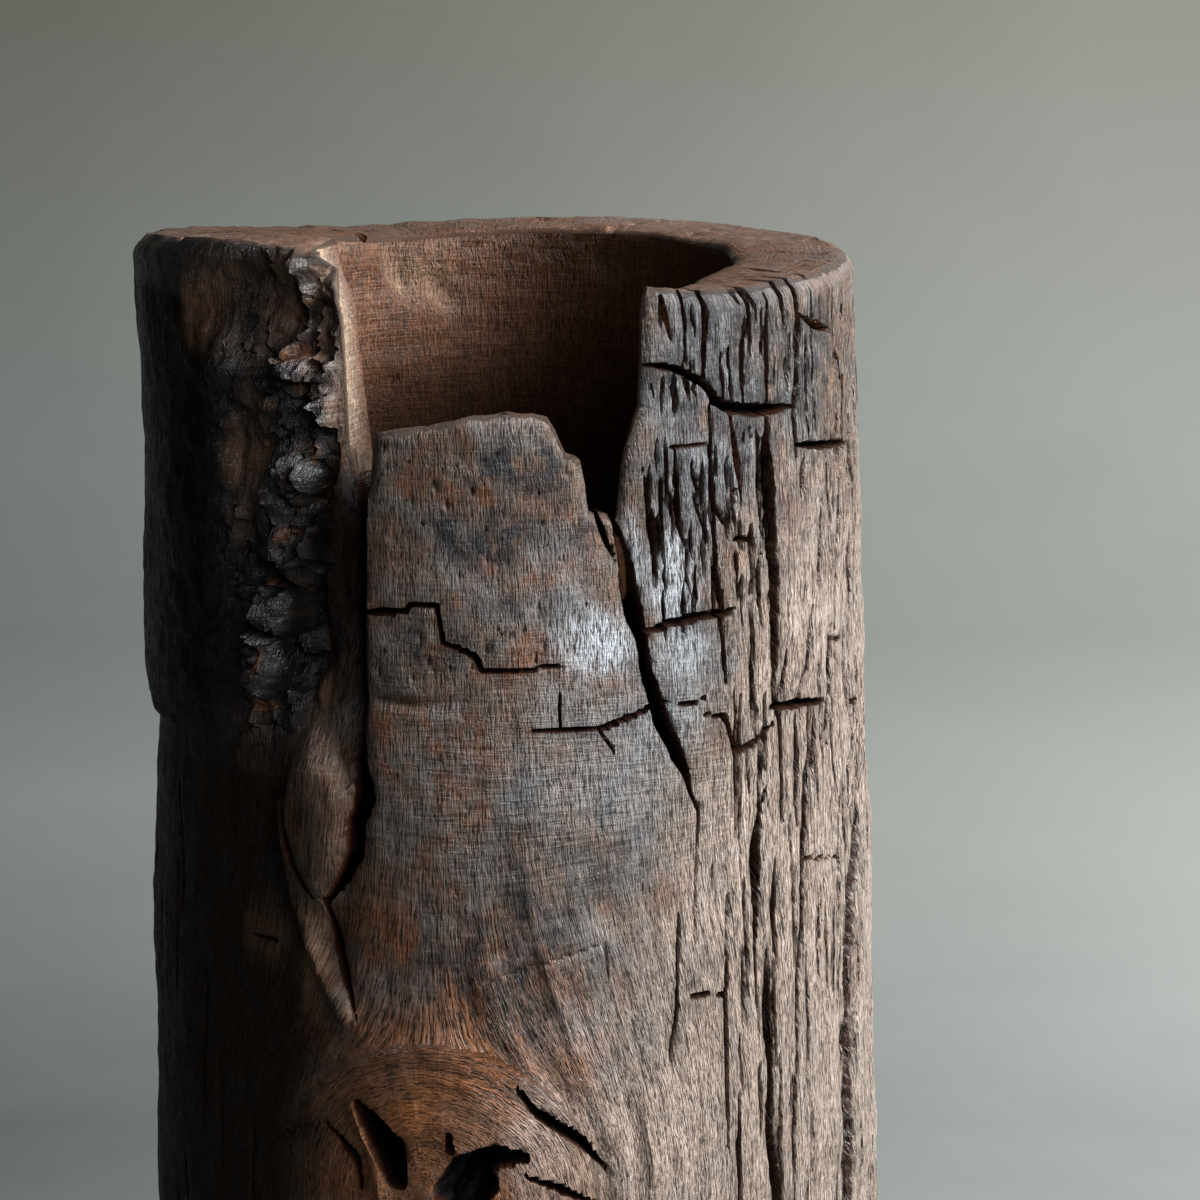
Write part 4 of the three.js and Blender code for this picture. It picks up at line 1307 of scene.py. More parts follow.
@dataclass(frozen=True)
class PlanedBoard(Finish):
    """Planed softwood board, left bare: straight brown growth lines along X and faint plane marks."""

    name: str = "planed softwood board, bare"
    warp: Pattern = Pattern((120, 30, 30), 2, 0.55, (0, 1))
    rings: Pattern = Pattern((400, 4.5, 12), 3, 0.55, (0, 1))
    fibre: Pattern = Pattern((20, 0.6, 0.6), 3, 0.55, (0, 1))
    early: str = "#9a7450"
    late: str = "#5b3d26"
    bump_mm: float = 0.3

    def surface(self, tree: NodeTree) -> dict[str, object]:
        """Adds the nodes and returns what feeds each socket of the surface."""
        add = partial(add_node, tree)
        place = add(Kind.COORDINATES).outputs["Object"]
        patterns = (self.warp, self.rings, self.fibre)
        warp, rings, fibre = (pattern.draw(tree, place, 1 / MM) for pattern in patterns)
        lines = add(Kind.MATH, {0: warp, 1: 0.5, 2: rings}, operation="MULTIPLY_ADD")
        lines = add(Kind.SPAN, {0: lines, 1: 0.67, 2: 0.87, 4: 0.8})
        share = add(Kind.MATH, {0: fibre, 1: 0.4, 2: lines}, operation="MULTIPLY_ADD", use_clamp=True)
        colour = add(Kind.MIX, {0: share, 6: self.early, 7: self.late}, data_type="RGBA")
        bump = add(Kind.BUMP, {"Strength": 0.4, "Distance": self.bump_mm * MM, "Height": fibre})
        return {"Base Color": colour, "Roughness": 0.7, "Normal": bump}


@dataclass(frozen=True)
class PegEndGrain(Finish):
    """Split hardwood pegs: fine rings and pores on the ends, straight fibres along the sides."""

    name: str = "split hardwood peg, end grain oiled"
    fibre: Pattern = Pattern((0.5, 0.5, 12), 3, 0.55, (0, 1))
    ring_mm: float = 1.3
    pith_mm: Triple = (4, 3, 0)
    pale: str = "#9c7c58"
    dark: str = "#5d4128"
    bump_mm: float = 0.3

    def surface(self, tree: NodeTree) -> dict[str, object]:
        """Adds the nodes and returns what feeds each socket of the surface."""
        add = partial(add_node, tree)
        place = add(Kind.ATTRIBUTE, attribute_name="peg_place").outputs["Vector"]
        moved = add(Kind.VECTOR, {0: place, 1: tuple(x * MM for x in self.pith_mm)}, operation="ADD")
        flat = add(Kind.VECTOR, {0: moved, 1: (1, 1, 0)}, operation="MULTIPLY")
        span = add(Kind.VECTOR, {0: flat}, operation="LENGTH").outputs["Value"]
        turns = add(Kind.MATH, {0: span, 1: 2 * math.pi / (self.ring_mm * MM)}, operation="MULTIPLY")
        wave = add(Kind.MATH, {0: turns}, operation="SINE")
        rings = add(Kind.SPAN, {0: wave, 1: -1, 2: 1, 3: -0.24, 4: 0.12})
        fibre = self.fibre.draw(tree, place, 1 / MM)
        share = add(Kind.MATH, {0: fibre, 1: 0.8, 2: rings}, operation="MULTIPLY_ADD", use_clamp=True)
        colour = add(Kind.MIX, {0: share, 6: self.pale, 7: self.dark}, data_type="RGBA")
        bump = add(Kind.BUMP, {"Strength": 0.5, "Distance": self.bump_mm * MM, "Height": fibre})
        return {"Base Color": colour, "Roughness": 0.6, "Normal": bump}


@dataclass(frozen=True)
class TarnishedCopper(Finish):
    """Rolled sheet copper with a dull brown tarnish, darker blotches and a few green specks."""

    name: str = "rolled sheet copper, tarnished brown"
    blotch: Pattern = Pattern((30, 30, 22), 5, 0.6, (0.36, 0.62))
    rolled: Pattern = Pattern((1.2, 1.2, 90), 2)
    specks: Pattern = Pattern((4, 4, 6), 4, 0.65, (0.66, 0.72))
    bright: str = "#a8673f"
    brown: str = "#5a3524"
    green: str = "#6f8f7c"
    bump_mm: float = 0.2

    def surface(self, tree: NodeTree) -> dict[str, object]:
        """Adds the nodes and returns what feeds each socket of the surface."""
        add = partial(add_node, tree)
        place = add(Kind.COORDINATES).outputs["Object"]
        patterns = (self.blotch, self.rolled, self.specks)
        blotch, rolled, specks = (pattern.draw(tree, place, 1 / MM) for pattern in patterns)
        colour = add(Kind.MIX, {0: blotch, 6: self.bright, 7: self.brown}, data_type="RGBA")
        share = add(Kind.MATH, {0: specks, 1: 0.7}, operation="MULTIPLY")
        colour = add(Kind.MIX, {0: share, 6: colour, 7: self.green}, data_type="RGBA")
        metal = add(Kind.SPAN, {0: specks, 3: 1, 4: 0.2})
        rough = add(Kind.SPAN, {0: blotch, 3: 0.30, 4: 0.55})
        bump = add(Kind.BUMP, {"Strength": 0.15, "Distance": self.bump_mm * MM, "Height": rolled})
        return {"Base Color": colour, "Metallic": metal, "Roughness": rough, "Normal": bump}


@dataclass(frozen=True)
class SweepPaintAndShade(Finish):
    """Matt mineral paint on the sweep: a mottled grey, with painted shade that darkens it to the left, above
    and close by.
    """

    name: str = "matt mineral paint with painted shade"
    mottle: Pattern = Pattern((240, 240, 300), 5, 0.6)
    mottled: float = 0.2
    # Where the left and right ends lie, in metres, and each layer's colours there: the wall's paint, darker
    # to the left as painted shade, then the painted shade of the wall's top and of the near floor
    ends: Pair = (-0.35, 0.4)
    wall: tuple[str, str] = ("#979e9a", "#b7bcb6")
    high: tuple[str, str] = ("#85857b", "#abaca3")
    ground: tuple[str, str] = ("#525959", "#a7ada9")
    # Heights over which the painted shade darkens the wall, and distances over which it darkens the floor
    climb: Pair = (0.08, 0.34)
    near: Pair = (0.9, 0.4)

    def surface(self, tree: NodeTree) -> dict[str, object]:
        """Adds the nodes and returns what feeds each socket of the surface."""
        add = partial(add_node, tree)
        place = add(Kind.COORDINATES).outputs["Object"]
        parts = add(Kind.PARTS, {0: place}).outputs
        across = add(Kind.SPAN, {0: parts[0], 1: self.ends[0], 2: self.ends[1]}, clamp=False)
        uneven = {0: self.mottle.draw(tree, place, 1 / MM), 1: self.mottled, 2: across}
        share = add(Kind.MATH, uneven, operation="MULTIPLY_ADD")
        share = add(Kind.MATH, {0: share, 1: self.mottled / 2}, operation="SUBTRACT", use_clamp=True)
        colour = add(Kind.MIX, {0: share, 6: self.wall[0], 7: self.wall[1]}, data_type="RGBA")
        # Painted shade: the wall's top and the near floor are darker
        layers = ((self.high, parts[2], self.climb), (self.ground, parts[1], self.near))
        for (left, right), along, span in layers:
            paint = add(Kind.MIX, {0: share, 6: left, 7: right}, data_type="RGBA")
            covered = add(Kind.SPAN, {0: along, 1: span[0], 2: span[1]})
            colour = add(Kind.MIX, {0: covered, 6: colour, 7: paint}, data_type="RGBA")
        return {"Base Color": colour, "Roughness": 0.9}


def mesh_object(
    name: str, points: Array, faces: list | Array, material: Material, crease: float | None = None
) -> Object:
    """Makes a mesh object at the origin from points in mm.

    Args:
        name: the piece's name.
        points: n by 3 positions in mm.
        faces: vertex numbers of each face.
        material: its finish.
        crease: degrees from which an edge is sharp.

    Returns:
        The object, smooth-shaded and linked to the scene.
    """
    mesh = bpy.data.meshes.new(name)
    mesh.from_pydata((points * MM).tolist(), [], [tuple(int(i) for i in face) for face in faces])
    mesh.update()
    mesh.polygons.foreach_set("use_smooth", np.ones(len(mesh.polygons), bool))
    mesh.materials.append(material)
    if crease is not None:
        mesh.set_sharp_from_angle(angle=math.radians(crease))
    made = bpy.data.objects.new(name, mesh)
    bpy.context.scene.collection.objects.link(made)
    return made


def apply_modifiers(piece: Object) -> None:
    """Turns a piece's modifiers into its plain mesh."""
    graph = bpy.context.evaluated_depsgraph_get()
    made = bpy.data.meshes.new_from_object(piece.evaluated_get(graph))
    piece.modifiers.clear()
    old = piece.data
    piece.data = made
    bpy.data.meshes.remove(old)


def write_attributes(mesh: Mesh, grain: Array, colours: dict[str, Array]) -> None:
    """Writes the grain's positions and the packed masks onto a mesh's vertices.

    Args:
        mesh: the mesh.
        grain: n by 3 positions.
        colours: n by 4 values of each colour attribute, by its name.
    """
    place = mesh.attributes.new("grain", "FLOAT_VECTOR", "POINT")
    place.data.foreach_set("vector", grain.astype(np.float32).ravel())
    for name, values in colours.items():
        packed = mesh.attributes.new(name, "FLOAT_COLOR", "POINT")
        packed.data.foreach_set("color", values.astype(np.float32).ravel())


def bands(spans: Line, scale: float) -> Array:
    """Fills spans of (start, end, step) with stops, where scale turns a span's units into the step's."""
    counts = [max(2, round((b - a) * scale / step)) for a, b, step in spans]
    return np.concatenate([np.linspace(a, b, n, endpoint=False) for (a, b, _), n in zip(spans, counts)])


@dataclass(frozen=True)
class OuterSheet:
    """The log's outer surface: its mesh, what was found there, and the vertices at its top and its foot."""

    points: Array
    faces: list
    found: Surface
    radius: Array
    top: Array
    foot: Array


@dataclass(frozen=True)
class InnerSheet:
    """The log's rim, hollow and foot: its mesh, and the steps of each column in its rim and its hollow."""

    points: Array
    faces: list
    steps: int
    rim: int
    angle: Array
    level: Array
    chips: Array


@dataclass
class LogWall:
    """The log: outer surface, rim, broken faces, hollow, rebate and foot, as one closed mesh."""

    form: LogForm = FORM
    surface: LogSurface = field(default_factory=LogSurface)
    triangles: int = 194000
    crease: float = 50.0
    # Columns by angle and rows by height: start, end and step in mm
    column_bands: Line = (
        (-180, -163, 2.6), (-163, -153, 0.9), (-153, -104, 2.4), (-104, -66, 1), (-66, -32, 0.75),
        (-32, -27, 0.55), (-27, -16, 0.4), (-16, 8, 0.5), (8, 33, 0.4), (33, 62, 0.5), (62, 84, 0.65),
        (84, 104, 1), (104, 137, 2.4), (137, 147, 0.9), (147, 180, 2.6),
    )
    row_bands: Line = (
        (0, 4, 1.6), (4, 18, 0.8), (18, 60, 2.2), (60, 120, 1.5), (120, 200, 0.95), (200, 290, 0.8),
        (290, 372, 0.65),
    )
    rim_steps: int = 22
    slant_rows: int = 46
    hollow_rows: int = 34
    ring_steps: int = 5
    # Height at which the rows of the slanted faces end
    slant_end: float = 292.0
    # How freely the mesh is thinned: outside in front, elsewhere outside, inside near the rim and below it
    looseness: tuple[float, float, float, float] = (0.35, 0.7, 0.6, 1)
    front_limits: Pair = (20, 120)
    near_rim: float = 320.0
    # The top edge: where it is jagged, how much of that is left elsewhere, and the jags
    jagged: Pair = (-30, 24.6)
    jag_left: float = 0.25
    jags: Mixed = (Waves(1, 91, 0.55), Waves(4, 92, 0.5))
    jag_scale: float = 1.1
    # The rim's top: roughness, height of its crown, width from which it is crowned, and waver of its checks
    rim_rough: Mixed = (Waves(14, 101, 0.55, 3), Waves((2.2, 2.2, 1), 102, 0.25))
    rim_crown: float = 1.2
    rim_width: float = 12.0
    rim_tip: float = 0.15
    rim_waver: Waves = Waves((3, 3, 1), 103, 0.3)
    # Radial checks of the rim: angle, skew over the wall, start and end as shares of it, half width, depth
    rim_splits: Line = (
        (64, 6, -0.3, 0.8, 0.8, 2.2), (78, -8, -0.3, 0.55, 0.6, 1.6), (93, 5, 0.1, 1.3, 0.7, 1.8),
        (112, 9, -0.3, 0.7, 0.9, 2.4), (131, -5, 0.2, 1.3, 0.6, 1.6), (150, 4, -0.3, 1.3, 1, 2.6),
        (171, -7, -0.3, 0.6, 0.7, 1.8), (-166, 6, 0.3, 1.3, 0.6, 1.6), (-141, -4, -0.3, 1.3, 1, 2.6),
        (-122, 7, -0.3, 0.5, 0.7, 1.6), (-101, -6, 0.2, 1.3, 0.8, 2), (-83, 4, -0.3, 0.8, 0.7, 1.6),
        (-62, -5, -0.3, 0.6, 0.8, 1.8), (-47, 6, 0.2, 1.3, 0.6, 1.4),
    )
    # The hollow: its waves, roughness of the broken faces, and chips (angle, drop, width, height, depth)
    hollow_waves: Mixed = (Waves((26, 26, 7), 111, 0.7), Waves((9, 9, 2.4), 112, 0.35))
    slant_rough: Waves = Waves((4, 4, 14), 113, 0.8, 2)
    edge_thickness: float = 2.0
    least_thickness: float = 1.6
    chips: Line = (
        (-153.5, 8.6, 7, 10, 3.2), (-164.5, 14, 6.5, 9, 3), (-135, 15, 5, 5, 1.8),
        (-136.5, 34, 4, 5, 1.5), (152, 8.5, 6, 5, 2.4), (120, 22, 5, 9, 2),
    )
    # Painted shade in the hollow: at its back to the right, and downwards there and behind the front
    shade_right: Pair = (206, 152)
    shade_back: Pair = (60, 100)
    shade_low: Pair = (18, 52)
    shade_front: Pair = (18, 50)
    # The slant's pale wood at the left, and masks that are even over the whole inside
    fresh_left: Pair = (-10, -16)
    rim_hollowed: Pair = (0.55, 0.9)
    even_masks: Parts = (("grey", 0.25), ("rust", 0.8), ("ripple", 0.5))
    rim_grain_radius: float = 74.0

    def build(self, finish: Material) -> Object:
        """Builds the closed mesh with its finish masks.

        Args:
            finish: the log's material.

        Returns:
            The log.
        """
        columns = bands(self.column_bands, PER_DEGREE)
        outer = self.outer_sheet(columns, bands(self.row_bands, 1))
        inner = self.inner_sheet(columns, outer)
        points = np.concatenate([outer.points, inner.points])
        faces = outer.faces + inner.faces
        made = mesh_object("log_wall_raw", points, faces, finish)
        self.write_masks(made, columns, outer, inner)
        total = sum(len(face) - 2 for face in faces)
        loose = made.vertex_groups.new(name="loose")
        shown = (points[:, 1] < self.front_limits[0]) & (points[:, 2] > self.front_limits[1])
        front, outside, rim, inside = self.looseness
        weight = np.where(points[:, 2] > self.near_rim, rim, inside)
        weight[: len(outer.points)] = np.where(shown, front, outside)[: len(outer.points)]
        for share in np.unique(weight):
            loose.add(np.flatnonzero(weight == share).tolist(), float(share), "REPLACE")
        thin = made.modifiers.new("thin", "DECIMATE")
        thin.vertex_group = loose.name
        thin.vertex_group_factor = 3.0
        thin.ratio = min(1, self.triangles / total)
        LOG.info("log wall: %d triangles before thinning", total)
        apply_modifiers(made)
        made.name = made.data.name = "weathered_log"
        made.data.set_sharp_from_angle(angle=math.radians(self.crease))
        return made

    def outer_sheet(self, columns: Array, rows: Array) -> OuterSheet:
        """The outer surface up to the rim and the break, one vertex of the edge to a column.

        Args:
            columns: angles of the mesh's columns.
            rows: heights of its rows.

        Returns:
            The sheet, open at its top and its foot.
        """
        form = self.form
        count = len(columns)
        ragged = np.stack([columns * self.jag_scale, np.zeros(count), np.zeros(count)], axis=1)
        jag = mixed(self.jags, ragged)
        broken = (columns > self.jagged[0]) & (columns < self.jagged[1])
        tops = form.rim_height - form.top_drop(columns) + np.where(broken, jag, self.jag_left * jag)
        last = np.searchsorted(rows, tops - 0.4)
        starts = np.concatenate([[0], np.cumsum(last + 1)])
        angle = np.repeat(columns, last + 1)
        level = np.concatenate([np.append(rows[:n], top) for n, top in zip(last, tops)])
        found = self.surface.evaluate(angle, level)
        radius = form.plain_radius(level) + found.relief
        points = around(angle, radius, level)
        points[:, 0] += form.middle(level)
        faces = []
        for i in range(count):
            j = (i + 1) % count
            a, b = starts[i], starts[j]
            shared = min(last[i], last[j])
            faces.extend((a + k, b + k, b + k + 1, a + k + 1) for k in range(shared))
            faces.extend((a + k, b + shared, a + k + 1) for k in range(shared, last[i]))
            faces.extend((a + shared, b + k, b + k + 1) for k in range(shared, last[j]))
        return OuterSheet(points, faces, found, radius, starts[:-1] + last, starts[:-1])

    def inner_sheet(self, columns: Array, outer: OuterSheet) -> InnerSheet:
        """The rim's top, the slanted broken faces, the hollow, the rebate and the foot's ring.

        Args:
            columns: angles of the mesh's columns.
            outer: the outer surface.

        Returns:
            The sheet that closes the outer one.
        """
        form = self.form
        count = len(columns)
        top_z = outer.points[outer.top, 2][:, None]
        top_r = outer.radius[outer.top][:, None]
        foot_r = outer.radius[outer.foot][:, None]
        slant = top_z + (self.slant_end - top_z) * np.linspace(0, 1, self.slant_rows + 1)[None, :] ** 1.2
        lower = np.linspace(self.slant_end, form.rebate_height, self.hollow_rows + 1)[1:]
        level = np.concatenate([slant, np.repeat(lower[None, :], count, axis=0)], axis=1)
        angle = np.repeat(columns[:, None], level.shape[1], axis=1)
        wall, chips = (found.reshape(level.shape) for found in self.hollow_wall(angle.ravel(), level.ravel()))
        slanted = wall[:, : self.slant_rows + 1]
        np.minimum(slanted, top_r - self.least_thickness, out=slanted)

        share = np.linspace(0, 1, self.rim_steps + 1)[None, 1:-1]
        rim_r = top_r + (wall[:, :1] - top_r) * share
        width = top_r - wall[:, :1]
        crowned = np.clip(width / self.rim_width, 0, 1)
        rim_angle = np.repeat(columns[:, None], share.shape[1], axis=1)
        flat = around(rim_angle, rim_r, np.zeros(rim_r.shape)).reshape(-1, 3)
        rough = mixed(self.rim_rough, flat)
        rough -= self.rim_checks(rim_angle.ravel(), rim_r.ravel(), np.repeat(share, count, axis=0).ravel())
        crown = self.rim_crown - 1.3 * np.exp(-(width * (1 - share)) / 2.2)
        rim_z = top_z + crowned * (crown + rough.reshape(rim_r.shape))
        level[:, :1] -= 0.8 * crowned

        rebate = np.full((count, 1), form.rebate_radius)
        ring_r = rebate + (foot_r - rebate) * np.linspace(0, 1, self.ring_steps + 1)[None, 1:-1]
        seat_z = np.full((count, 1), form.rebate_height)
        rings_r = np.concatenate([rim_r, wall, rebate, rebate, ring_r], axis=1)
        rings_z = np.concatenate([rim_z, level, seat_z, np.zeros((count, self.ring_steps))], axis=1)
        points = around(columns[:, None], rings_r, rings_z)
        points[..., 0] += form.middle(rings_z)
        steps = rings_r.shape[1]
        first = len(outer.points)
        faces = []
        for i in range(count):
            left, right = (
                [outer.top[n], *range(first + n * steps, first + (n + 1) * steps), outer.foot[n]]
                for n in (i, (i + 1) % count)
            )
            faces.extend((left[k], right[k], right[k + 1], left[k + 1]) for k in range(steps + 1))
        return InnerSheet(points.reshape(-1, 3), faces, steps, share.shape[1], angle, level, chips)

    def rim_checks(self, angle: Array, radius: Array, share: Array) -> Array:
        """Depth of the radial checks in the rim's top.

        Args:
            angle: degrees from the front.
            radius: from the axis.
            share: 0 at the wall's outside to 1 at the hollow.

        Returns:
            Millimetres downwards.
        """
        depth = np.zeros(angle.shape)
        waver = self.rim_waver.at(np.stack([angle, radius, share], axis=1))
        for middle, skew, start, end, wide, deep in self.rim_splits:
            off = np.abs(turned(angle - middle - skew * (share - 0.5))) * np.radians(radius) + waver
            ends = ease(start, start + self.rim_tip, share) * ease(end, end - self.rim_tip, share)
            depth = np.maximum(depth, deep * np.clip(1 - off / wide, 0, 1) * ends)
        return depth

    def hollow_wall(self, angle: Array, z: Array) -> tuple[Array, Array]:
        """Works out the hollow, which flares out to the broken front's edge.

        Args:
            angle, z: the points on the wall.

        Returns:
            The radius, and a mask of the chips.
        """
        form = self.form
        drop = form.rim_height - z
        place = around(angle, form.hollow_radius, z)
        _, flare = form.break_edge(angle, drop)
        full = form.plain_radius(z) - self.edge_thickness
        radius = form.hollow_radius + (full - form.hollow_radius) * flare
        radius += mixed(self.hollow_waves, place) + self.slant_rough.at(place, flare)
        chips = np.zeros(angle.shape)
        for middle, down, wide, high, deep in self.chips:
            below = (drop - down) / high
            lean = (angle - middle) / wide + 0.5 * below
            shape = np.clip(1 - np.hypot(lean, below), 0, 1)
            radius += deep * shape * np.clip(0.6 + lean, 0.1, 1.2)
            chips = np.maximum(chips, ease(0.05, 0.4, shape))
        return radius, chips

    def hollow_shade(self, angle: Array, drop: Array) -> Array:
        """Painted shade in the hollow: darker to the right at the back, and further down there and behind the
        front.
        """
        back = ease(*self.shade_back, np.abs(angle))
        unshaded = (1 - 0.75 * ease(*self.shade_right, angle % 360)) * (1 - 0.9 * ease(*self.shade_low, drop))
        return (1 - unshaded) * back + 0.85 * ease(*self.shade_front, drop) * (1 - back)

    def write_masks(self, made: Object, columns: Array, outer: OuterSheet, inner: InnerSheet) -> None:
        """Writes the grain and the finishes' masks onto the mesh's vertices.

        Args:
            made: the log before thinning.
            columns: angles of the mesh's columns.
            outer: its outer surface.
            inner: its rim, hollow and foot.
        """
        form = self.form
        shape = (len(columns), inner.steps)
        rim, hollow = slice(0, inner.rim), slice(inner.rim, inner.rim + inner.level.shape[1])
        drop = form.rim_height - inner.level
        _, slant = form.break_edge(inner.angle.ravel(), drop.ravel())
        slanted = ease(0, 0.4, slant).reshape(drop.shape)
        inside = {name: np.zeros(shape) for name in ("soot", "fresh", "hollow")}
        inside |= {name: np.full(shape, value) for name, value in self.even_masks}
        # Painted shade in the hollow
        inside["soot"][:, hollow] = self.hollow_shade(inner.angle, drop)
        pale = 0.25 + 0.75 * ease(*self.fresh_left, inner.angle)
        inside["fresh"][:, hollow] = np.maximum(slanted * pale, 0.3 * inner.chips)
        inside["hollow"][:, rim] = np.linspace(*self.rim_hollowed, inner.rim)
        inside["hollow"][:, hollow] = 1 - 0.9 * slanted

        inner_grain = inner.points.reshape(*shape, 3).copy()
        rim_points = inner_grain[:, rim]
        ring = np.hypot(rim_points[..., 0] - form.middle(form.rim_height), rim_points[..., 1])
        inner_grain[:, rim] = around(columns[:, None], np.full(ring.shape, self.rim_grain_radius), ring)
        grain = np.concatenate([outer.found.grain, inner_grain.reshape(-1, 3)])
        outside = outer.found.masks
        bare, bare_inside = np.zeros(len(outer.points)), np.zeros(shape)
        colours = {}
        for attribute, names in PACKED.items():
            halves = [(outside.get(name, bare), inside.get(name, bare_inside).ravel()) for name in names]
            colours[attribute] = np.stack([np.concatenate(pair) for pair in halves], axis=1)
        write_attributes(made.data, grain, colours)

    def dress(self, piece: Object) -> None:
        """Seats the log on its body in place of its solid."""
        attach(piece, "vase")
        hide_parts("log_wall")


def revolve(profile: Line, sides: int, middle_x: float) -> tuple[Array, list]:
    """Turns a profile of (radius, height) about an upright axis.

    Args:
        profile: an open line that starts and ends on the axis, or a loop off the axis.
        sides: steps round the axis.
        middle_x: X of the axis.

    Returns:
        Points in mm and faces that look outwards for a profile that runs upwards on its outside.
    """
    turn = np.linspace(0, 2 * np.pi, sides, endpoint=False)
    points, starts = [], []
    for radius, height in profile:
        starts.append((sum(len(p) for p in points), radius == 0))
        ring = turn[:1] if radius == 0 else turn
        level = np.full(len(ring), height)
        points.append(np.stack([middle_x + radius * np.cos(ring), radius * np.sin(ring), level], axis=1))
    pairs = list(zip(starts, starts[1:]))
    if profile[0][0] != 0:
        pairs.append((starts[-1], starts[0]))
    faces = []
    for (low, low_pole), (high, high_pole) in pairs:
        for i in range(sides):
            j = (i + 1) % sides
            corners = [low] if low_pole else [low + i, low + j]
            corners += [high] if high_pole else [high + j, high + i]
            faces.append(tuple(corners))
    return np.concatenate(points), faces


@dataclass
class Splinter:
    """The long splinter wedged against the right-hand side of the right-hand split."""

    line: Line = ((55, 19.6), (60, 20.1), (66, 20.7), (72, 21.1))  # drop, angle
    inner_radius: float = 67.4
    outer_radius: float = 86.5
    half_width: float = 1.9
    squareness: float = 0.6
    rows: int = 26
    ring: int = 16
    rough: Waves = Waves((1.6, 8, 1.6), 121, 0.004, 2)
    # Its packed masks, as the log's finish reads them
    wear: tuple[float, ...] = (0, 0.2, 0.5, 0)
    place: tuple[float, ...] = (0, 0, 0, 0.5)

    def build(self, finish: Material) -> Object:
        """Lofts the splinter, thick at its head and pointed at its foot.

        Args:
            finish: its material.

        Returns:
            The splinter.
        """
        drop = np.linspace(self.line[0][0], self.line[-1][0], self.rows)
        share = np.linspace(0, 1, self.rows)
        swell = np.sqrt(np.clip(share / 0.08, 0, 1)) * np.clip((1.02 - share) / 0.6, 0, 1) ** 0.6
        turn = np.linspace(0, 2 * np.pi, self.ring, endpoint=False)
        sides = (np.cos(turn), np.sin(turn))
        wide, deep = (np.sign(side) * np.abs(side) ** self.squareness for side in sides)
        reach = (self.outer_radius - self.inner_radius) / 2
        radius = self.inner_radius + reach + np.outer(0.55 + 0.45 * swell, deep * reach)
        z = np.repeat((FORM.rim_height - drop)[:, None], self.ring, axis=1)
        rough = self.rough.at(np.stack([radius.ravel(), z.ravel(), np.tile(turn, self.rows)], axis=1))
        off = np.outer(0.12 + 0.88 * swell, wide * self.half_width) / radius + rough.reshape(radius.shape)
        points = around(follow(drop, self.line)[:, None] + np.degrees(off), radius, z)
        points[..., 0] += FORM.middle(z)
        flat = np.concatenate([points.reshape(-1, 3), points[[0, -1]].mean(axis=1)])
        first, last = len(flat) - 2, len(flat) - 1
        foot = (self.rows - 1) * self.ring
        faces = []
        for i in range(self.ring):
            j = (i + 1) % self.ring
            faces += [(first, i, j), (last, foot + j, foot + i)]
            faces += [(k + j, k + i, k + self.ring + i, k + self.ring + j) for k in range(0, foot, self.ring)]
        made = mesh_object("split_splinter", flat, faces, finish)
        masks = {"wear": self.wear, "place": self.place}
        colours = {name: np.tile(values, len(flat)) for name, values in masks.items()}
        write_attributes(made.data, flat, colours)
        return made

    def dress(self, piece: Object) -> None:
        """Seats the splinter on the vase in place of its solid."""
        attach(piece, "vase")
        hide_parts("crack_splinter")


@dataclass
class BaseBoard:
    """The round board let into the foot, slightly cupped and chamfered."""

    radius: float = 66.7
    bottom: float = 3.0
    top: float = 19.0
    chamfer: float = 1.5
    middle_x: float = 2.82
    sides: int = 144
    rings: int = 12
    crease: float = 35.0
    cupping: Waves = Waves((30, 30, 60), 131, 0.12)

    def build(self, finish: Material) -> Object:
        """Turns the board's profile and cups it.

        Args:
            finish: its material.

        Returns:
            The board.
        """
        r, c = self.radius, self.chamfer
        under = [(x, self.bottom) for x in np.linspace(0, r - c, self.rings)]
        low = [(r - 0.5 * c, self.bottom + 0.3 * c), (r, self.bottom + c)]
        high = [(r, self.top - c), (r - 0.5 * c, self.top - 0.3 * c)]
        upper = [(x, self.top) for x in np.linspace(r - c, 0, self.rings)]
        points, faces = revolve((*under, *low, *high, *upper), self.sides, self.middle_x)
        points[:, 2] += self.cupping.at(points)
        return mesh_object("foot_board", points, faces, finish, self.crease)

    def dress(self, piece: Object) -> None:
        """Seats the board on the vase in place of its solid."""
        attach(piece, "vase")
        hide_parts("base_board")


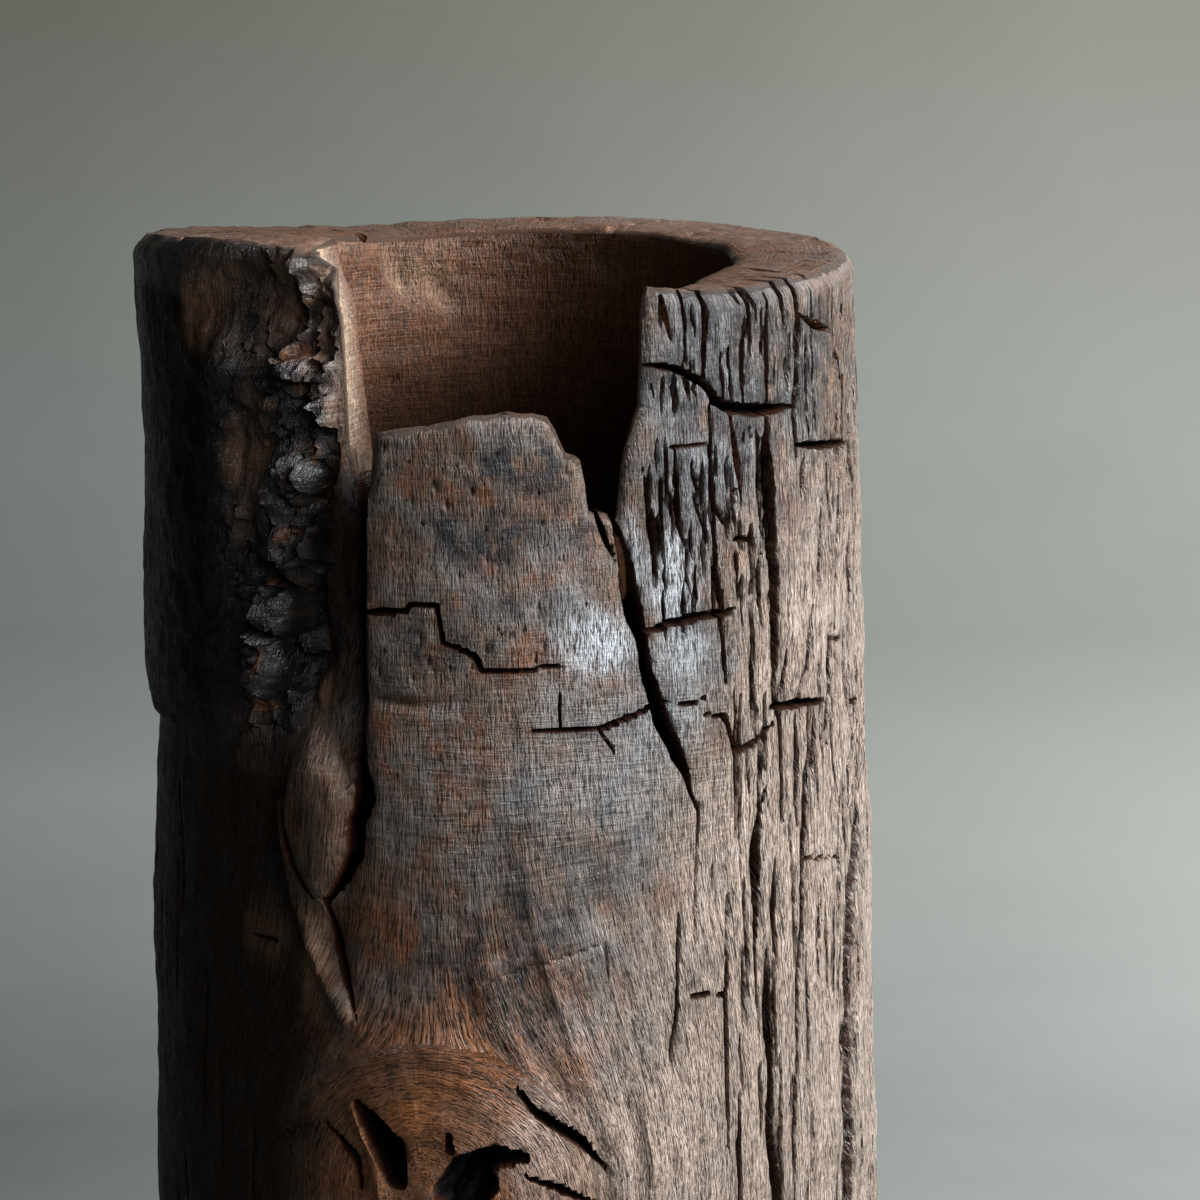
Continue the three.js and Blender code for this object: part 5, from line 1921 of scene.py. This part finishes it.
@dataclass
class Pegs:
    """The six pegs through the foot into the board, set one to a point by a node tree."""

    angles: tuple[float, ...] = tuple(22.0 + 60.0 * i for i in range(6))
    radius: float = 4.0
    height: float = 11.0
    inner_radius: float = 50.7
    set_back: float = 0.6
    bevel: float = 0.9
    tip_share: float = 0.84
    stations: int = 72
    sides: int = 28
    seed: int = 7
    crease: float = 40.0

    def build(self, finish: Material) -> Object:
        """Places a point at each peg's outer end and turns the tree's result into a plain mesh.

        Args:
            finish: its material.

        Returns:
            All the pegs, as one mesh.
        """
        angles = np.array(self.angles)
        lobes = FORM.lobe_height * np.cos(FORM.lobes * np.radians(angles))
        outer = FORM.plain_radius(self.height) + lobes - self.set_back
        made = mesh_object("foot_pegs", around(angles, outer, np.full(len(angles), self.height)), [], finish)
        values = {
            "Peg Radius": self.radius * MM,
            "Peg Length": (float(outer.mean()) - self.inner_radius) * MM,
            "Bevel": self.bevel * MM,
            "Seed": self.seed,
            "Finish": finish,
        }
        grow = made.modifiers.new("pegs", "NODES")
        grow.node_group = self.tree()
        for item in grow.node_group.interface.items_tree:
            if item.name in values:
                grow[item.identifier] = values[item.name]
        apply_modifiers(made)
        made.data.set_sharp_from_angle(angle=math.radians(self.crease))
        return made

    def tree(self) -> NodeTree:
        """Sets a bevelled peg on every point, pointing outwards from the log's axis.

        Returns:
            The tree, with named inputs for its sizes.
        """
        tree = bpy.data.node_groups.new("peg on every point", "GeometryNodeTree")
        sockets = {"Geometry": "Geometry", "Peg Radius": "Float", "Peg Length": "Float", "Bevel": "Float"}
        sockets |= {"Seed": "Int", "Finish": "Material"}
        for name, kind in sockets.items():
            tree.interface.new_socket(name, in_out="INPUT", socket_type=f"NodeSocket{kind}")
        tree.interface.new_socket("Geometry", in_out="OUTPUT", socket_type="NodeSocketGeometry")
        add = partial(add_node, tree)
        given = add("NodeGroupInput").outputs
        place = add("GeometryNodeInputPosition").outputs[0]
        # One peg along -Z from the origin, narrower at its outer end
        sizes = (given["Peg Length"], given["Bevel"])
        back, edge = (add(Kind.MATH, {0: size, 1: -1}, operation="MULTIPLY") for size in sizes)
        end = add("ShaderNodeCombineXYZ", {"Z": back})
        line = add("GeometryNodeCurvePrimitiveLine", {"End": end})
        line = add("GeometryNodeResampleCurve", {"Curve": line, "Count": self.stations})
        depth = add("ShaderNodeSeparateXYZ", {0: place}).outputs["Z"]
        taper = add(Kind.SPAN, {"Value": depth, 1: edge, 2: 0, 3: 1, 4: self.tip_share})
        line = add("GeometryNodeSetCurveRadius", {"Curve": line, "Radius": taper})
        circle = {"Resolution": self.sides, "Radius": given["Peg Radius"]}
        outline = add("GeometryNodeCurvePrimitiveCircle", circle).outputs[0]
        swept = {"Curve": line, "Profile Curve": outline, "Fill Caps": True}
        peg = add("GeometryNodeCurveToMesh", swept)
        if "Scale" in peg.inputs:
            tree.links.new(add("GeometryNodeInputRadius").outputs[0], peg.inputs["Scale"])
        named = {"Geometry": peg, "Name": "peg_place", "Value": place}
        peg = add("GeometryNodeStoreNamedAttribute", named, data_type="FLOAT_VECTOR")
        # The pegs face outwards, each turned about its own axis
        outward = add(Kind.VECTOR, {0: place, 1: (1, 1, 0)}, operation="MULTIPLY")
        facing = add("FunctionNodeAlignRotationToVector", {"Vector": outward}, axis="Z")
        spin = add("FunctionNodeRandomValue", {2: 0, 3: 6.28, "Seed": given["Seed"]}).outputs[1]
        about = add("FunctionNodeAxisAngleToRotation", {"Axis": (0, 0, 1), "Angle": spin})
        facing = add("FunctionNodeRotateRotation", {0: facing, 1: about}, rotation_space="LOCAL")
        placed = {"Points": given["Geometry"], "Instance": peg, "Rotation": facing}
        pegs = add("GeometryNodeInstanceOnPoints", placed)
        pegs = add("GeometryNodeRealizeInstances", {"Geometry": pegs})
        pegs = add("GeometryNodeSetMaterial", {"Geometry": pegs, "Material": given["Finish"]})
        add("NodeGroupOutput", {0: pegs})
        return tree

    def dress(self, piece: Object) -> None:
        """Seats the pegs on the vase in place of their solids."""
        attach(piece, "vase")
        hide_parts(*(f"base_peg_{i + 1}" for i in range(len(self.angles))))


@dataclass
class Liner:
    """The lift-out water liner: rolled wall with a lapped seam, flanged floor and wire bead."""

    radius: float = 50.0
    sheet: float = 1.0
    bottom: float = 19.3
    top: float = 238.0
    floor_top: float = 28.3
    floor_radius: float = 48.7
    bead_radius: float = 1.8
    bead_ring: float = 52.1
    bead_height: float = 236.2
    seam_angle: float = 60.0
    seam_width: float = 9.0
    seam_rise: float = 0.28
    seam_slope: float = 0.6
    # Dents: waves over the unit circle and the height, how far they lie inwards, and how far off the ends
    dents: Waves = Waves((1 / 3, 1 / 3, 28), 141, 0.22)
    dent_inwards: float = 0.2
    dent_ends: Pair = (25, 30)
    middle_x: float = 0.86
    sides: int = 192
    rows: int = 72
    bead_sides: int = 20
    floor_rings: int = 10
    # Turns of the floor's bend, in radians, on its inside going down and on its outside going up
    bend_inside: tuple[float, ...] = (1.4, 0.9, 0.4, 0)
    bend_outside: tuple[float, ...] = (0, 0.4, 0.8, 1.2, 1.5)
    crease: float = 50.0

    def build(self, finish: Material) -> list[Object]:
        """Builds the wall, the floor and the bead."""
        return [self.wall(finish), self.floor(finish), self.bead(finish)]

    def wall(self, finish: Material) -> Object:
        """The rolled wall, a little dented, its seam lapped on the outside.

        Args:
            finish: its material.

        Returns:
            The wall.
        """
        levels = np.linspace(self.bottom, self.top, self.rows)
        outside = [(self.radius, z) for z in levels]
        inside = [(self.radius - self.sheet, z) for z in levels[::-1]]
        points, faces = revolve((*outside, *inside), self.sides, self.middle_x)
        flat, z = points[:, :2] - (self.middle_x, 0), points[:, 2]
        span = np.hypot(flat[:, 0], flat[:, 1])
        unit = flat / span[:, None]
        dent = self.dents.at(np.column_stack([unit, z])) - self.dent_inwards
        dent *= ease(self.bottom, self.bottom + self.dent_ends[0], z)
        dent *= ease(self.top, self.top - self.dent_ends[1], z)
        turn = np.degrees(np.arctan2(flat[:, 1], flat[:, 0]))
        off = np.abs(turned(turn - self.seam_angle)) * math.radians(self.radius) - self.seam_width / 2
        lap = self.seam_rise * ease(self.seam_slope, -self.seam_slope, off)
        outer = span > self.radius - self.sheet / 2
        points[:, :2] += unit * (dent + lap * outer)[:, None]
        return mesh_object("liner_sheet_wall", points, faces, finish, self.crease)

    def floor(self, finish: Material) -> Object:
        """The floor with its flange turned down and rounded at the bend.

        Args:
            finish: its material.

        Returns:
            The floor.
        """
        r, t = self.floor_radius, self.sheet
        centre_r, centre_z = r - 2 * t, self.floor_top - 2 * t
        under = [(x, self.floor_top - t) for x in np.linspace(0, r - 2.2 * t, self.floor_rings)]
        bends = [
            [(centre_r + size * math.cos(a), centre_z + size * math.sin(a)) for a in turns]
            for size, turns in ((t, self.bend_inside), (2 * t, self.bend_outside))
        ]
        flange = [(r - t, self.bottom), (r, self.bottom)]
        upper = [(x, self.floor_top) for x in np.linspace(r - 2.4 * t, 0, self.floor_rings)]
        points, faces = revolve((*under, *bends[0], *flange, *bends[1], *upper), self.sides, self.middle_x)
        return mesh_object("liner_sheet_floor", points, faces, finish, self.crease)

    def bead(self, finish: Material) -> Object:
        """The wire bead round the lip.

        Args:
            finish: its material.

        Returns:
            The bead.
        """
        turn = np.linspace(0, 2 * np.pi, self.bead_sides, endpoint=False)
        ring, level = self.bead_radius * np.cos(turn), self.bead_radius * np.sin(turn)
        loop = tuple(zip(self.bead_ring + ring, self.bead_height + level))
        points, faces = revolve(loop, self.sides, self.middle_x)
        return mesh_object("liner_wire_bead", points, faces, finish)

    def dress(self, made: list[Object]) -> None:
        """Seats the liner's pieces on the sliding body in place of their solids."""
        for piece, node in zip(made, ("liner_wall", "liner_floor", "liner_rim_bead")):
            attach(piece, "liner")
            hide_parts(node)


@dataclass(frozen=True)
class Lamp:
    """A soft lamp: its name, watts, width and height, and place in metres."""

    name: str
    watts: float
    size: Pair
    place: Triple


@dataclass
class Studio:
    """A plain grey sweep, soft light from the right and the photograph's camera, in metres."""

    lens_mm: float = 120.0
    camera_place: Triple = (0.02255, -1, 0.467)
    camera_pitch: float = 10.98
    clip_start: float = 0.01
    lamps: tuple[Lamp, ...] = (
        Lamp("key", 50, (1.1, 0.7), (1.32, -0.38, 1)),
        Lamp("back", 9, (0.8, 0.8), (1, 1.1, 1.1)),
        Lamp("fill", 5.4, (0.8, 0.8), (0.47, -1.38, 0.9)),
    )
    lamps_aim: Triple = (0, 0, 0.25)
    sky: float = 0.006
    backdrop: float = 0.03
    sky_colour: str = "#fbfffb"
    sweep_radius: float = 0.6
    sweep_front: Pair = (-0.35, 0.4)
    sweep_start: float = 1.3
    sweep_top: float = 2.2
    sweep_half_width: float = 1.6
    sweep_steps: int = 25

    def build(self) -> None:
        """Adds the sweep, the lamps, the world and the camera."""
        self.add_sweep()
        for lamp in self.lamps:
            self.add_lamp(lamp)
        self.add_world()
        scene = bpy.context.scene
        scene.view_settings.view_transform = "Standard"
        data = bpy.data.cameras.new("camera")
        data.lens = self.lens_mm
        data.clip_start = self.clip_start
        camera = bpy.data.objects.new("camera", data)
        camera.location = self.camera_place
        camera.rotation_euler = (math.radians(90 - self.camera_pitch), 0, 0)
        scene.collection.objects.link(camera)
        scene.camera = camera

    def add_world(self) -> None:
        """A dim sky for the object, shown as plain grey behind it."""
        world = bpy.data.worlds.new("studio")
        world.use_nodes = True
        tree = world.node_tree
        tree.nodes.clear()
        path = add_node(tree, "ShaderNodeLightPath").outputs
        seen = path["Is Camera Ray"]
        for ray in ("Is Glossy Ray", "Is Transmission Ray"):
            seen = add_node(tree, Kind.MATH, {0: seen, 1: path[ray]}, operation="MAXIMUM")
        strength = add_node(tree, Kind.SPAN, {0: seen, 3: self.sky, 4: self.backdrop})
        sky = add_node(tree, "ShaderNodeBackground", {"Color": self.sky_colour, "Strength": strength})
        add_node(tree, "ShaderNodeOutputWorld", {"Surface": sky})
        bpy.context.scene.world = world

    def add_sweep(self) -> None:
        """Adds the floor that curves up into the wall, with its paint and painted shade."""
        arc = np.radians(np.linspace(0, 90, self.sweep_steps))
        bend = zip(self.sweep_start + self.sweep_radius * np.sin(arc), self.sweep_radius * (1 - np.cos(arc)))
        wall = (self.sweep_start + self.sweep_radius, self.sweep_top)
        line = [*((y, 0) for y in self.sweep_front), *bend, wall]
        sides = (-self.sweep_half_width, self.sweep_half_width)
        points = np.array([(x, y, z) for y, z in line for x in sides]) / MM
        faces = [(2 * i, 2 * i + 1, 2 * i + 3, 2 * i + 2) for i in range(len(line) - 1)]
        mesh_object("sweep", points, faces, SweepPaintAndShade().build())

    def add_lamp(self, lamp: Lamp) -> None:
        """Adds a lamp that faces the upper part of the log.

        Args:
            lamp: which one.
        """
        data = bpy.data.lights.new(lamp.name, "AREA")
        data.energy = lamp.watts
        data.shape = "RECTANGLE"
        data.size, data.size_y = lamp.size
        made = bpy.data.objects.new(lamp.name, data)
        made.location = lamp.place
        aim = np.array(self.lamps_aim) - lamp.place
        tilt = math.atan2(math.hypot(aim[0], aim[1]), -aim[2])
        made.rotation_euler = (tilt, 0, math.atan2(aim[1], aim[0]) - math.pi / 2)
        bpy.context.scene.collection.objects.link(made)


def main() -> None:
    """Builds the vase's pieces in order, and the studio round them."""
    logging.basicConfig(level=logging.INFO, format="%(message)s")
    wood = WeatheredLogWood().build()
    parts = (
        (LogWall(), wood),
        (Splinter(), wood),
        (BaseBoard(), PlanedBoard().build()),
        (Pegs(), PegEndGrain().build()),
        (Liner(), TarnishedCopper().build()),
    )
    for part, finish in parts:
        made = part.build(finish)
        part.dress(made)
        for piece in made if isinstance(made, list) else [made]:
            LOG.info("%s: %d faces", piece.name, len(piece.data.polygons))
    Studio().build()


if __name__ == "__main__":
    main()
